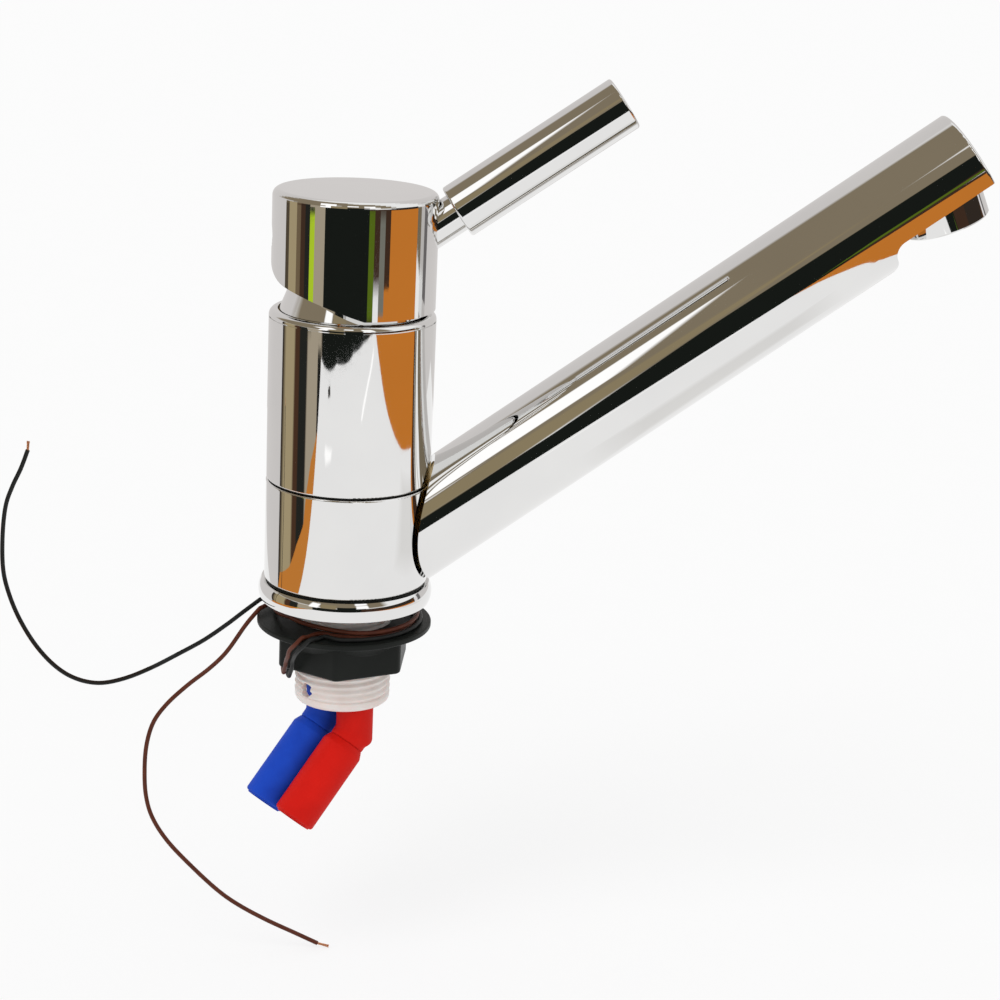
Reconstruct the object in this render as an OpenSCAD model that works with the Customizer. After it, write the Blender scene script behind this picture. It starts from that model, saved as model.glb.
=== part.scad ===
// Single lever mixer tap for a sink or a small basin, in millimetres.
// +Z points up and the spout points along +X. The origin is the centre of the base ring's
// underside, where the tap stands on its deck.

/* [Body] */
// Outer diameter of the swivel collar and of the upper sleeve
body_d = 48; // [46:0.5:52]
// Height of the base ring
ring_h = 5.7; // [5:0.1:8]
// Widest diameter of the bulged base ring
ring_d = 51.2; // [50:0.2:56]
// Height of each dark joint line of the swivel
joint_h = 0.6; // [0.5:0.1:1.2]
// Height of the swivel collar
collar_h = 29.8; // [29:0.2:36]
// Height of the upper sleeve, from the joint line to its top
sleeve_h = 49.7; // [46:0.1:60]
// Wall of the upper sleeve
sleeve_wall = 2.5; // [1.5:0.1:2.6]
// Height of the rounded shoulder at the top of the upper sleeve
shoulder_h = 1.9; // [1.5:0.1:2.2]
// Diameter of the bearing column that the collar turns on
column_d = 38; // [36:0.5:40]

/* [Bonnet] */
// Diameter of the bonnet at its foot
bonnet_d = 42; // [40:0.2:42]
// Height of the bonnet above the upper sleeve
bonnet_h = 10.6; // [9:0.1:11]
// How much the bonnet's radius narrows for each millimetre of height
bonnet_lean = 0.4; // [0.3:0.02:0.42]
// Wall of the bonnet
bonnet_wall = 1.8; // [1.2:0.1:2]
// Diameter of the hole in the bonnet's top
bonnet_hole_d = 27; // [26:0.5:28]

/* [Lever] */
// Diameter of the lever's cap
cap_d = 47.2; // [46:0.2:50]
// Gap between the upper sleeve's top and the cap's front edge
cap_gap = 1.2; // [1:0.1:2]
// Height of the lever's cap
cap_h = 33.3; // [31:0.1:38]
// Side wall of the cap
cap_wall = 2.2; // [1.6:0.1:2.3]
// Top wall of the cap
cap_top = 3; // [2:0.1:4]
// Rounding of the cap's top edge
cap_round = 2.1; // [1:0.1:2.4]
// Slope of the cap's rear edge, in degrees
cap_slope = 18; // [16:0.5:19]
// Place where the sloped rear edge starts, ahead of the axis
cap_slope_x = 2.5; // [1:0.5:4]
// Rounding of the corner between the cap's rear edge and its side
cap_corner = 5.5; // [3:0.1:6.5]
// Slope of the lever's grip, in degrees
grip_angle = 35.2; // [33:0.1:38]
// Height above the upper sleeve's top at which the grip's axis meets the body's axis
grip_rise = 8.6; // [7.6:0.1:11.6]
// Diameter of the grip
grip_d = 16; // [14:0.2:17]
// Length of the grip
grip_l = 56.5; // [45:0.5:70]
// Distance from the body's axis to the grip's near end, along the grip
grip_start = 35.2; // [34:0.1:40]
// Diameter of the rod that carries the grip
rod_d = 11.4; // [10:0.1:11.6]
// Depth to which the rod reaches into the grip
rod_seat = 25; // [15:1:40]
// Rounding of the grip's edges
grip_round = 0.7; // [0.3:0.1:1.5]

/* [Cartridge] */
// Diameter of the cartridge
cartridge_d = 35; // [34.6:0.1:35.2]
// Depth of the cartridge's seat below the upper sleeve's top
cartridge_drop = 34.4; // [32.4:0.1:35.4]
// Depth of the pivot pin below the upper sleeve's top
pivot_drop = 2.4; // [1.9:0.1:2.9]
// Side of the square stem
stem_w = 8; // [7:0.1:8]
// Diameter of the pivot pin
pin_d = 3; // [2:0.1:3.5]
// Distance from the pivot pin down to the stem's ball
stem_drop = 13; // [12:0.1:13.4]
// Diameter of the stem's ball
ball_d = 6; // [5:0.1:6.4]
// Diameter of the moving ceramic disc
disc_d = 24; // [22:0.5:25]
// Thickness of each ceramic disc
disc_t = 4; // [3:0.1:4.2]
// Largest lift of the lever, in degrees
lift_deg = 20; // [10:1:20]

/* [Spout] */
// Outer diameter of the spout
spout_d = 30; // [28:0.2:31]
// Wall of the spout
spout_wall = 1.8; // [1.2:0.1:2.5]
// Slope of the spout, in degrees
spout_angle = 36.1; // [35:0.1:37]
// Height above the deck at which the spout's axis meets the body's axis
spout_z = 6.9; // [6:0.1:8]
// Length of the spout from the body's axis to its end face, along the spout
spout_l = 218.3; // [190:0.1:260]
// Gap between the body and the spout's saddle-cut end
saddle_gap = 1.1; // [0.8:0.1:1.5]
// Diameter of the hidden neck that joins the spout to the collar
neck_d = 17; // [15:0.2:17.4]
// Diameter of the water way through the neck
neck_bore_d = 11; // [8:0.2:12]
// Rounding of the spout's end face
spout_round = 1; // [0.4:0.1:1.2]

/* [Outlet] */
// Length of the flat under the spout's end
flat_l = 30; // [29:0.1:32]
// Depth of the flat below the spout's axis
flat_n = 6; // [5:0.1:7]
// Rounding of the lip before the flat
lip_r = 5; // [3:0.1:5.2]
// Diameter of the aerator's ring
aerator_d = 24.8; // [23:0.1:25]
// Distance from the spout's end face back to the aerator, along the spout
aerator_t = 15.6; // [15.4:0.1:17]
// Depth of the aerator's rim below the spout's axis
aerator_n = 12.5; // [11.5:0.1:13.5]
// Lean of the aerator away from straight down, in degrees
aerator_lean = 23; // [20:0.5:26]
// Height of the aerator's ring
aerator_h = 7.5; // [7:0.1:8]

/* [Mounting] */
// Outer diameter of the threaded shank
shank_d = 28.5; // [28:0.1:29]
// Length of the shank below the deck
shank_l = 32; // [30:0.5:60]
// Bore of the shank
shank_bore_d = 24.6; // [24.4:0.1:25]
// Width of the shank's slot for the leads
slot_w = 4; // [3:0.1:6]
// Direction of the shank's slot, in degrees
slot_az = 168; // [162:1:177]
// Diameter of the hole in the shank's side
hole_d = 4.4; // [3:0.1:5]
// Direction of the hole in the shank's side, in degrees
hole_az = -142; // [-150:1:-130]
// Depth of the hole in the shank's side below the deck
hole_drop = 27; // [25.5:0.1:27.5]
// Thickness of the rubber gasket in the base ring
gasket_t = 1; // [0.8:0.1:1.4]
// Distance from the base ring's edge in to the gasket's edge
gasket_inset = 3.1; // [2.6:0.1:4.5]
// Distance from the deck down to the nut's flange
nut_drop = 6.7; // [5:0.1:12]
// Height of the nut with its flange
nut_h = 13.3; // [11:0.1:14]
// Thickness of the nut's flange at its rim
flange_t = 1.6; // [1.2:0.1:3]
// Diameter of the nut's flange
flange_d = 51.6; // [48:0.2:56]
// Width of the nut across its flats
nut_af = 36; // [35:0.5:38]
// Direction of one of the nut's corners, in degrees
nut_az = -97.8; // [-105:0.1:-90]

/* [Supplies] */
// Outer diameter of the two copper tails
tail_d = 8; // [7:0.1:8]
// Distance of each tail from the body's axis
tail_r = 6.6; // [6.6:0.05:6.7]
// Direction of the hot tail, in degrees
hot_az = -55; // [-57:1:-50]
// Direction of the cold tail, in degrees
cold_az = 140; // [136:1:142]
// Diameter of the elbows' legs
elbow_d = 11; // [10:0.1:11]
// Bend of the elbows, in degrees
elbow_bend = 42; // [38:1:45]
// Direction in which the elbows point, in degrees
elbow_az = -147; // [-150:1:-142]
// Height of the hot elbow's corner below the deck
hot_corner = 40.9; // [40:0.1:44]
// Height of the cold elbow's corner below the deck
cold_corner = 39.4; // [39:0.1:43]
// Length of the elbows' heels below their corners
heel_l = 4.2; // [4:0.1:5]
// Diameter of the coloured push-in sleeves
push_d = 12.9; // [12:0.1:12.9]
// Length of the coloured push-in sleeves
push_l = 27.6; // [24:0.1:32]
// Distance from an elbow's corner to its sleeve
push_start = 4.4; // [4:0.1:6]
// Bore of the push-in sleeves
push_bore_d = 10; // [9:0.1:10.4]
// Depth of the push-in sleeves' bore
push_bore_l = 17; // [12:0.1:17]

/* [Leads] */
// Outer diameter of the two leads
lead_d = 1.3; // [1:0.1:1.4]
// Diameter of the bare lead ends
tip_d = 0.8; // [0.6:0.1:0.9]

/* [Fits] */
// Radial clearance of the turning and sliding fits
run = 0.05; // [0.03:0.01:0.08]
// Height of the free space between the bonnet's top and the boss in the cap
boss_gap = 3; // [2.6:0.1:3.4]
// Roundness of turned pieces
turned_fn = 96; // [64:8:128]

/* [Hidden] */
$fn = turned_fn;

// Heights of the stacked pieces
slip_t = joint_h - 2 * 0.1;
collar_z = ring_h + joint_h;
split_z = collar_z + collar_h;
sleeve_z = split_z + joint_h;
sleeve_top = sleeve_z + sleeve_h;
core_top = sleeve_top - 2.4;
foot_z = gasket_t + 3;

// Cap and lever
cap_r = cap_d / 2;
cap_z = sleeve_top + cap_gap;
cap_end = cap_z + cap_h;
grip_z = sleeve_top + grip_rise;
boss_z = sleeve_top + bonnet_h + boss_gap;

// Cartridge stack
cartridge_z = sleeve_top - cartridge_drop;
pivot_z = sleeve_top - pivot_drop;
base_t = 6;
disc_z = cartridge_z + base_t;
mover_z = disc_z + disc_t;
carrier_z = mover_z + disc_t;
ball_z = pivot_z - stem_drop;
rotor_z = ball_z + ball_d / 2 + 0.4;
housing_neck_z = rotor_z + 2;
housing_top = pivot_z + 4;
neck_in_r = 10.4;
neck_out_r = 13;
travel = stem_drop * lift_deg * PI / 180;

// Spout and outlet
spout_r = spout_d / 2;
bore_r = spout_r - spout_wall;
flat_t = spout_l - flat_l;
saddle_r = body_d / 2 + saddle_gap;

// Radii and heights of hidden pieces
gasket_d = ring_d - 2 * gasket_inset;
flange_in_r = column_d / 2 + 1;
core_r = body_d / 2 - sleeve_wall - 0.2;
thread_r = core_r - 1.3;
shell_in_r = cartridge_d / 2 - 2.1;
neck_z = rotor_z + 3.5;
rail_z = mover_z + 0.3;
carrier_w = disc_d - 0.9;
clamp_af = 30;
way_r = 2.6;
mix_az = 222;
mix_xy = [8 * cos(mix_az), 8 * sin(mix_az)];
switch_h = 7;
switch_az = -142;
tail_top = foot_z + 9;
tail_gap = 6;
elbow_top = 24;
elbow_bore = 2.9;
heel_round = 1.6;
nipple_r = 4.4;
nipple_l = 12;
seal_d = 1.8;
seal_in = column_d / 2 + run / 2 - seal_d;
port_z = spout_z + column_d / 2 * tan(spout_angle);
port_h = neck_bore_d / 2 / cos(spout_angle) + 0.3;
seal_low = port_z - port_h - 3.2;
seal_high = port_z + port_h + 4.5;
root_r = column_d / 2 + run + 0.55;
plug_t = (saddle_r + spout_r * sin(spout_angle)) / cos(spout_angle) + 5;
step_fillet = spout_r - flat_n - lip_r;
step_t = flat_t - step_fillet - 0.2;
hollow_t = step_t - lip_r - 2;
washer_t = 1.5;
boss_r = 8;
socket_l = 14;
rod_t = 16.5;
screw_r = 2.5;
screw_z = boss_z + 7;
plug_r = 3.4;

// Tails
hot_xy = [tail_r * cos(hot_az), tail_r * sin(hot_az)];
cold_xy = [tail_r * cos(cold_az), tail_r * sin(cold_az)];

// Turns its children so that their +Z runs along a slope in the XZ plane, from a height z.
module along(angle, z) {
    translate([0, 0, z]) rotate([0, 90 - angle, 0]) children();
}

// A ring, tube or washer.
module tube_of(r1, r2, h, z = 0) {
    translate([0, 0, z]) difference() {
        cylinder(r = r2, h = h);
        translate([0, 0, -1]) cylinder(r = r1, h = h + 2);
    }
}

// A rubber ring of round section.
module o_ring(r, section) {
    rotate_extrude() translate([r, 0]) circle(d = section, $fn = 24);
}

// A square with a rounded outer corner, for turned edges: wide w, high h, rounding r.
module rounded_edge(w, h, r) {
    square([w - r, h]);
    square([w, h - r]);
    translate([w - r, h - r]) circle(r = r, $fn = 48);
}

// Smooth curve through points
function unit(v) = v / norm(v);
function bend(a, b, c, d, t) =
    0.5 * (2 * b + (c - a) * t + (2 * a - 5 * b + 4 * c - d) * t * t
    + (3 * b - a - 3 * c + d) * t * t * t);
function smooth(p, n) = let(m = len(p) - 1) concat(
    [for (i = [0:m - 1], k = [0:n - 1])
        bend(p[max(i - 1, 0)], p[i], p[i + 1], p[min(i + 2, m)], k / n)], [p[m]]);
function heading(p, i) = unit(p[min(i + 1, len(p) - 1)] - p[max(i - 1, 0)]);
function carry(p, i, v) = i >= len(p) ? [] :
    let(t = heading(p, i), u = unit(v - (v * t) * t)) concat([u], carry(p, i + 1, u));

// A round lead swept along its points.
module lead(p, d, sides, side) {
    u = carry(p, 0, side);
    m = len(p);
    rings = [for (i = [0:m - 1], k = [0:sides - 1])
        let(t = heading(p, i), a = 360 * k / sides)
        p[i] + d / 2 * (cos(a) * u[i] + sin(a) * cross(t, u[i]))];
    walls = [for (i = [0:m - 2], k = [0:sides - 1])
        let(a = i * sides + k, b = i * sides + (k + 1) % sides)
        each [[a, a + sides, b + sides], [a, b + sides, b]]];
    ends = [[for (k = [0:sides - 1]) k],
        [for (k = [0:sides - 1]) m * sides - 1 - k]];
    polyhedron(points = rings, faces = concat(walls, ends));
}

// A point given by its distance from the axis, its direction and its height.
function polar(r, az, z) = [r * cos(az), r * sin(az), z];

// Height of a lead that lies on the nut's flange, and the edges that the folds follow
lead_z = lead_d / 2 + 0.05 - nut_drop;
nut_low = -nut_drop - nut_h;
rim_r = flange_d / 2;
shank_r = shank_d / 2;
hex_r = nut_af / sqrt(3);
fold_az = nut_az - 30;

// Routes of the leads where the tap holds them: out of the shank's slot, under the nut and up
// its side, over its flange and round the shank.
brown_fold = [
    polar(shank_r - 2.85, slot_az, nut_low - 0.9), polar(shank_r + 0.8, slot_az, nut_low - 0.85),
    polar(shank_r + 3.3, slot_az + 12, nut_low - 0.85), polar(hex_r - 2.5, slot_az + 24, nut_low - 0.95),
    polar(hex_r - 0.7, fold_az - 24, nut_low - 1), polar(hex_r, fold_az - 19.5, nut_low + 0.2),
    polar(hex_r + 0.8, fold_az - 15.2, nut_low + 2.3), polar(hex_r + 1.8, fold_az - 11, nut_low + 4.6),
    polar(rim_r - 1.7, fold_az - 5.7, nut_low + 6.8), polar(rim_r, fold_az - 0.7, nut_low + 9.8),
    polar(rim_r + 0.8, fold_az + 5.5, -nut_drop - 0.6), polar(rim_r - 0.4, fold_az + 8, -nut_drop + 0.95),
    polar(rim_r - 2.5, fold_az + 9.3, lead_z), polar(rim_r - 5.9, fold_az + 12.3, lead_z),
    polar(rim_r - 7.4, fold_az + 18, lead_z)
];
brown_turn = [
    polar(rim_r - 6.2, fold_az + 30, lead_z),
    for (k = [0:9]) polar(rim_r - 4.8, fold_az + 54 + 24 * k, lead_z),
    polar(rim_r - 4.8, fold_az + 292, lead_z + 0.2), polar(rim_r - 6, fold_az + 313, lead_z + 0.9),
    polar(shank_r + 3.5, fold_az + 334, lead_z + 1.5), polar(shank_r + 3.3, fold_az + 350, lead_z + 1.5),
    polar(shank_r + 3.4, fold_az + 365, lead_z + 1.5), polar(shank_r + 4, fold_az + 379, lead_z + 1.5),
    polar(shank_r + 5.3, fold_az + 394, lead_z + 1.5), polar(shank_r + 6.9, fold_az + 410, lead_z + 1.5),
    for (k = [0:6]) polar(rim_r - 4.1, fold_az + 428 + 24 * k, lead_z + 1.5)
];
brown_exit = [[-5.5, 20.5, -4.6], [-12, 16.5, -4.6], [-19, 9.5, -4.7], [-25, 2, -5.2]];
black_fold = [
    polar(shank_r - 2.85, slot_az + 1, nut_low - 2.9), polar(shank_r + 0.8, slot_az + 1, nut_low - 2.5),
    polar(shank_r + 1.4, slot_az + 14, nut_low - 2.45), polar(shank_r + 3.1, slot_az + 30, nut_low - 2.4),
    polar(hex_r - 1.4, fold_az - 18.5, nut_low - 1.7), polar(hex_r - 0.5, fold_az - 13.7, nut_low - 0.4),
    polar(hex_r + 0.6, fold_az - 7.8, nut_low + 2.6), polar(hex_r + 2, fold_az - 3.7, nut_low + 5.7),
    polar(rim_r - 0.2, fold_az + 4.2, nut_low + 9.4), polar(rim_r + 0.85, fold_az + 10.6, -nut_drop - 0.8),
    polar(rim_r - 0.4, fold_az + 14.3, -nut_drop + 0.95), polar(rim_r - 2.6, fold_az + 17.5, lead_z),
    polar(rim_r - 5, fold_az + 21.5, lead_z)
];
black_turn = [for (k = [0:8]) polar(rim_r - 3.1, fold_az + 34 + 22 * k, lead_z)];
black_exit = [[-8, 21.8, -5.4], [-17, 16, -4.6], [-25, 6, -3.8]];

// Routes of the free leads.
brown_route = [
    [-25, 2, -5.2], [-29, -0.5, -9.5], [-34.5, -2, -17.5], [-39.5, -3, -22.5], [-46, -3, -28],
    [-52, -3, -34], [-56, -3, -40], [-58, -3, -47.5], [-58.5, -3, -56], [-58, -3, -64],
    [-56, -3, -71], [-51.5, -3, -78.5], [-44.5, -3, -86.5], [-36.5, -3, -94.5],
    [-30, -3, -99.5], [-21.5, -3, -104.5], [-12.5, -3, -109], [-5.5, -3, -112.5]
];
black_route = [
    [-25, 6, -3.8], [-30, 4, -7.2], [-35, 3, -11], [-41.5, 2, -15.5], [-49, 2, -20], [-57, 2, -24.5],
    [-65, 2, -28], [-72.5, 2, -29.5], [-79.5, 2, -28], [-85.5, 2, -24], [-91, 2, -17.5],
    [-95.5, 2, -9.5], [-98.5, 2, -1.5], [-100, 2, 6], [-100, 2, 16], [-99, 2, 25],
    [-97, 2, 31], [-94.5, 2, 36.5], [-92.5, 2, 42]
];
brown_end = [[-5.5, -3, -112.5], [-2, -3, -113.5]];
black_end = [[-92.5, 2, 42], [-92.3, 2, 44.7]];

// Profile of the bulged base ring, up to its outer edge.
module ring_profile() {
    intersection() {
        square([ring_d / 2, ring_h]);
        union() {
            square([ring_d / 2 - 3, ring_h]);
            translate([ring_d / 2 - 6, ring_h / 2 - 0.3]) circle(r = 6, $fn = 72);
        }
    }
}

// Bulged ring that stands on the deck, hollow underneath for the gasket and the shank's flange.
module base_ring() {
    color([0.86, 0.86, 0.88]) difference() {
        rotate_extrude() ring_profile();
        translate([0, 0, -1]) cylinder(r = column_d / 2 + 0.15, h = ring_h + 2);
        translate([0, 0, -1]) cylinder(r = flange_in_r + 0.2, h = foot_z + 1);
        translate([0, 0, -1]) cylinder(r = gasket_d / 2 + 0.2, h = gasket_t + 1);
    }
}

// Rubber gasket that seals the tap to its deck.
module base_gasket() {
    color([0.1, 0.1, 0.1]) tube_of(shank_d / 2 + 0.2, gasket_d / 2, gasket_t);
}

// Brass body: a bearing column for the collar, then the cartridge's cup above it.
module core() {
    color([0.78, 0.63, 0.32]) difference() {
        union() {
            translate([0, 0, foot_z]) cylinder(r = column_d / 2, h = sleeve_z - foot_z + 1);
            translate([0, 0, sleeve_z]) cylinder(r = core_r, h = core_top - sleeve_z);
        }
        // grooves for the two seals, and the ring-shaped port that feeds the spout
        for (z = [seal_low, seal_high])
            tube_of(seal_in - 0.02, column_d, seal_d + 0.6, z - seal_d / 2 - 0.3);
        tube_of(column_d / 2 - 3, column_d, 2 * port_h, port_z - port_h);
        // cup of the cartridge, with the thread of its clamp nut
        translate([0, 0, cartridge_z]) cylinder(r = cartridge_d / 2 + 0.1, h = core_top);
        translate([0, 0, neck_z - 0.2]) cylinder(r = thread_r + 0.05, h = core_top);
        // seats of the two tails and their ways up to the cartridge
        for (p = [hot_xy, cold_xy]) translate([p[0], p[1], 0]) {
            cylinder(r = tail_d / 2 + 0.03, h = tail_top + 0.2);
            cylinder(r = way_r, h = cartridge_z + 1);
        }
        // way of the mixed water down to the port
        translate([mix_xy[0], mix_xy[1], port_z]) cylinder(r = way_r, h = cartridge_z);
        translate([0, 0, port_z]) rotate([0, 90, mix_az]) cylinder(r = way_r, h = column_d / 2);
        translate([0, 0, foot_z - 1]) switch_block(0.15, switch_h + 1.2);
    }
}

// Plastic rings on which the collar turns.
module lower_slip_ring() {
    color([0.08, 0.08, 0.09])
        tube_of(column_d / 2 + 0.15, body_d / 2 - 0.6, slip_t, ring_h);
}

module upper_slip_ring() {
    color([0.08, 0.08, 0.09])
        tube_of(column_d / 2 + 0.15, body_d / 2 - 0.6, slip_t, sleeve_z - slip_t);
}

// Rubber rings between the column and the collar.
module lower_seal() {
    color([0.12, 0.12, 0.12]) translate([0, 0, seal_low]) o_ring(seal_in + seal_d / 2, seal_d);
}

module upper_seal() {
    color([0.12, 0.12, 0.12]) translate([0, 0, seal_high]) o_ring(seal_in + seal_d / 2, seal_d);
}

// Profile of the upper sleeve: rounded foot, scored line and rounded shoulder.
module sleeve_profile() {
    r = body_d / 2;
    difference() {
        translate([r - sleeve_wall, 0]) square([sleeve_wall, sleeve_h]);
        translate([r - 0.5, sleeve_h - shoulder_h - 0.3]) square([1, 0.3]);
        translate([r - shoulder_h, sleeve_h - shoulder_h]) difference() {
            square(shoulder_h + 1);
            circle(r = shoulder_h, $fn = 64);
        }
        translate([r - 0.5, 0.5]) difference() {
            translate([0, -1.5]) square([2, 1.5]);
            circle(r = 0.5, $fn = 32);
        }
    }
}

// Chromed outer sleeve of the fixed upper body.
module upper_sleeve() {
    color([0.86, 0.86, 0.88]) translate([0, 0, sleeve_z]) rotate_extrude() sleeve_profile();
}

// Sloped cover over the cartridge, under the lever's cap.
module bonnet() {
    r = bonnet_d / 2;
    t = r - bonnet_lean * bonnet_h;
    top = sleeve_top + bonnet_h;
    color([0.86, 0.86, 0.88]) rotate_extrude() polygon([
        [r - bonnet_wall, core_top], [r, core_top], [r, sleeve_top], [t, top],
        [bonnet_hole_d / 2, top], [bonnet_hole_d / 2, top - 1.4],
        [t - bonnet_wall + 0.5, top - 1.4], [r - bonnet_wall, sleeve_top]
    ]);
}

// The three water ways through the cartridge's fixed pieces.
module ways(z, h) {
    for (p = [hot_xy, cold_xy, mix_xy])
        translate([p[0], p[1], z - 1]) cylinder(r = way_r, h = h + 2);
}

// Foot of the cartridge, with its three ports.
module cartridge_base() {
    color([0.15, 0.15, 0.17]) difference() {
        translate([0, 0, cartridge_z]) cylinder(r = cartridge_d / 2, h = base_t);
        ways(cartridge_z, base_t);
    }
}

// Shell of the cartridge, with the neck in which the rotor turns.
module cartridge_housing() {
    color([0.85, 0.85, 0.82]) {
        tube_of(shell_in_r, cartridge_d / 2, neck_z - disc_z, disc_z);
        tube_of(neck_in_r, shell_in_r + 0.5, 2, neck_z - 2);
        tube_of(neck_in_r, neck_out_r, housing_top - neck_z + 1, neck_z - 1);
    }
}

// Fixed ceramic disc.
module fixed_disc() {
    color([0.93, 0.93, 0.9]) difference() {
        translate([0, 0, disc_z]) cylinder(r = shell_in_r - 0.2, h = disc_t);
        ways(disc_z, disc_t);
    }
}

// Threaded ring that holds the cartridge down, with a hexagon for its spanner.
module clamp_nut() {
    color([0.8, 0.66, 0.36]) difference() {
        union() {
            translate([0, 0, neck_z]) cylinder(r = thread_r, h = core_top - neck_z);
            translate([0, 0, neck_z + 1])
                cylinder(r = clamp_af / sqrt(3), h = core_top + 3 - neck_z, $fn = 6);
        }
        translate([0, 0, neck_z - 1]) cylinder(r = neck_out_r + 0.15, h = core_top);
    }
}

// Block that holds the sealed switch, grown by a clearance.
module switch_block(clear, h) {
    rotate([0, 0, switch_az]) translate([9 - clear, -4.5 - clear, 0])
        cube([5 + 2 * clear, 9 + 2 * clear, h]);
}

// Sealed switch in the foot of the body, from which the two leads come.
module switch_capsule() {
    color([0.1, 0.1, 0.12]) translate([0, 0, foot_z]) switch_block(0, switch_h);
}

// Threaded plastic shank that goes through the deck, slotted for the leads behind the nut's
// side, with a small round hole through its wall.
module shank() {
    r = shank_d / 2;
    b = shank_bore_d / 2;
    color([0.93, 0.9, 0.88]) difference() {
        rotate_extrude() polygon([
            [b, -shank_l], [r - 1, -shank_l], [r, 1 - shank_l], [r, gasket_t],
            [flange_in_r, gasket_t], [flange_in_r, foot_z], [b, foot_z]
        ]);
        rotate([0, 0, slot_az])
            translate([b - 2, -slot_w / 2, -shank_l - 1]) cube([r, slot_w, shank_l - 3]);
        translate([0, 0, -hole_drop]) rotate([0, 90, hole_az])
            translate([0, 0, b - 2]) cylinder(d = hole_d, h = r);
    }
}

// Plastic nut with a wide flange, which clamps the tap to its deck.
module flanged_nut() {
    r = flange_d / 2;
    low = nut_drop + nut_h;
    color([0.07, 0.07, 0.08]) difference() {
        union() {
            rotate_extrude() polygon([
                [0, -nut_drop], [r - 0.5, -nut_drop], [r, -nut_drop - 0.5],
                [r, -nut_drop - flange_t], [nut_af / 2 - 1, -nut_drop - flange_t - 4.5],
                [0, -nut_drop - flange_t - 4.5]
            ]);
            intersection() {
                rotate([0, 0, nut_az]) translate([0, 0, -low])
                    cylinder(r = hex_r, h = nut_h - 1, $fn = 6);
                translate([0, 0, -low])
                    cylinder(r1 = hex_r - 0.9, r2 = hex_r - 0.9 + 2 * nut_h, h = nut_h);
            }
        }
        translate([0, 0, -low - 1]) cylinder(r = shank_d / 2 + 0.1, h = nut_h + 2);
    }
}

// Copper tail between the body and an elbow.
module tail(p, corner) {
    low = corner - tail_gap;
    color([0.78, 0.47, 0.33]) translate([p[0], p[1], -low])
        tube_of(tail_d / 2 - 1, tail_d / 2, low + tail_top);
}

module hot_tail() {
    tail(hot_xy, hot_corner);
}

module cold_tail() {
    tail(cold_xy, cold_corner);
}

// Moves its children so that they run out of an elbow's corner, along its sleeve.
module out_of(p, corner) {
    translate([p[0], p[1], -corner]) rotate([0, 180 - elbow_bend, elbow_az]) children();
}

// Plastic elbow: a leg up into the shank, a rounded heel and a nipple for the sleeve.
module elbow(p, corner) {
    r = elbow_d / 2;
    difference() {
        union() {
            difference() {
                translate([p[0], p[1], -elbow_top]) mirror([0, 0, 1]) rotate_extrude()
                    rounded_edge(r, corner + heel_l - elbow_top, heel_round);
                out_of(p, corner) translate([0, 0, push_start - 0.15])
                    cylinder(r = elbow_d, h = elbow_d);
            }
            out_of(p, corner) {
                cylinder(r = r, h = push_start);
                cylinder(r = nipple_r, h = nipple_l);
            }
        }
        translate([p[0], p[1], -corner]) {
            cylinder(r = elbow_bore, h = corner);
            sphere(r = elbow_bore + 0.1);
            translate([0, 0, tail_gap - 0.2]) cylinder(r = tail_d / 2 + 0.03, h = corner);
        }
        out_of(p, corner) cylinder(r = elbow_bore, h = nipple_l + 1);
    }
}

module hot_elbow() {
    color([0.83, 0.12, 0.08]) elbow(hot_xy, hot_corner);
}

module cold_elbow() {
    color([0.15, 0.28, 0.75]) elbow(cold_xy, cold_corner);
}

// Coloured sleeve into which a hose is pushed.
module push_sleeve(p, corner) {
    out_of(p, corner) translate([0, 0, push_start]) difference() {
        rotate_extrude() {
            rounded_edge(push_d / 2, push_l, 0.8);
        }
        translate([0, 0, -1]) cylinder(r = nipple_r + 0.03, h = nipple_l - push_start + 1.2);
        translate([0, 0, -1]) cylinder(r = elbow_bore, h = push_l);
        translate([0, 0, push_l - push_bore_l]) cylinder(r = push_bore_d / 2, h = push_l);
    }
}

module hot_sleeve() {
    color([0.83, 0.12, 0.08]) push_sleeve(hot_xy, hot_corner);
}

module cold_sleeve() {
    color([0.15, 0.28, 0.75]) push_sleeve(cold_xy, cold_corner);
}

// Leads
module brown_wrap() {
    color([0.33, 0.17, 0.1])
        lead(smooth(concat(brown_fold, brown_turn, brown_exit), 2), lead_d, 8, [0, 0, 1]);
}

module black_wrap() {
    color([0.09, 0.09, 0.09])
        lead(smooth(concat(black_fold, black_turn, black_exit), 2), lead_d, 8, [0, 0, 1]);
}

module brown_lead() {
    color([0.33, 0.17, 0.1]) lead(smooth(brown_route, 2), lead_d, 8, [0, 1, 0]);
}

module black_lead() {
    color([0.09, 0.09, 0.09]) lead(smooth(black_route, 2), lead_d, 8, [0, 1, 0]);
}

module brown_tip() {
    color([0.8, 0.55, 0.35]) lead(brown_end, tip_d, 8, [0, 1, 0]);
}

module black_tip() {
    color([0.8, 0.55, 0.35]) lead(black_end, tip_d, 8, [0, 1, 0]);
}

// Chromed collar that turns with the spout.
module swivel_collar() {
    r = body_d / 2;
    color([0.86, 0.86, 0.88]) difference() {
        translate([0, 0, collar_z]) rotate_extrude() difference() {
            translate([column_d / 2 + run, 0])
                rounded_edge(r - column_d / 2 - run, collar_h, 0.5);
            translate([r - 0.5, 0.5]) difference() {
                translate([0, -1.5]) square([2, 1.5]);
                circle(r = 0.5, $fn = 32);
            }
        }
        difference() {
            along(spout_angle, spout_z) cylinder(r = neck_d / 2 + 0.02, h = body_d);
            cylinder(r = root_r, h = split_z);
        }
        along(spout_angle, spout_z) translate([0, 0, column_d / 4])
            cylinder(r = neck_bore_d / 2, h = body_d);
    }
}

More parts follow.
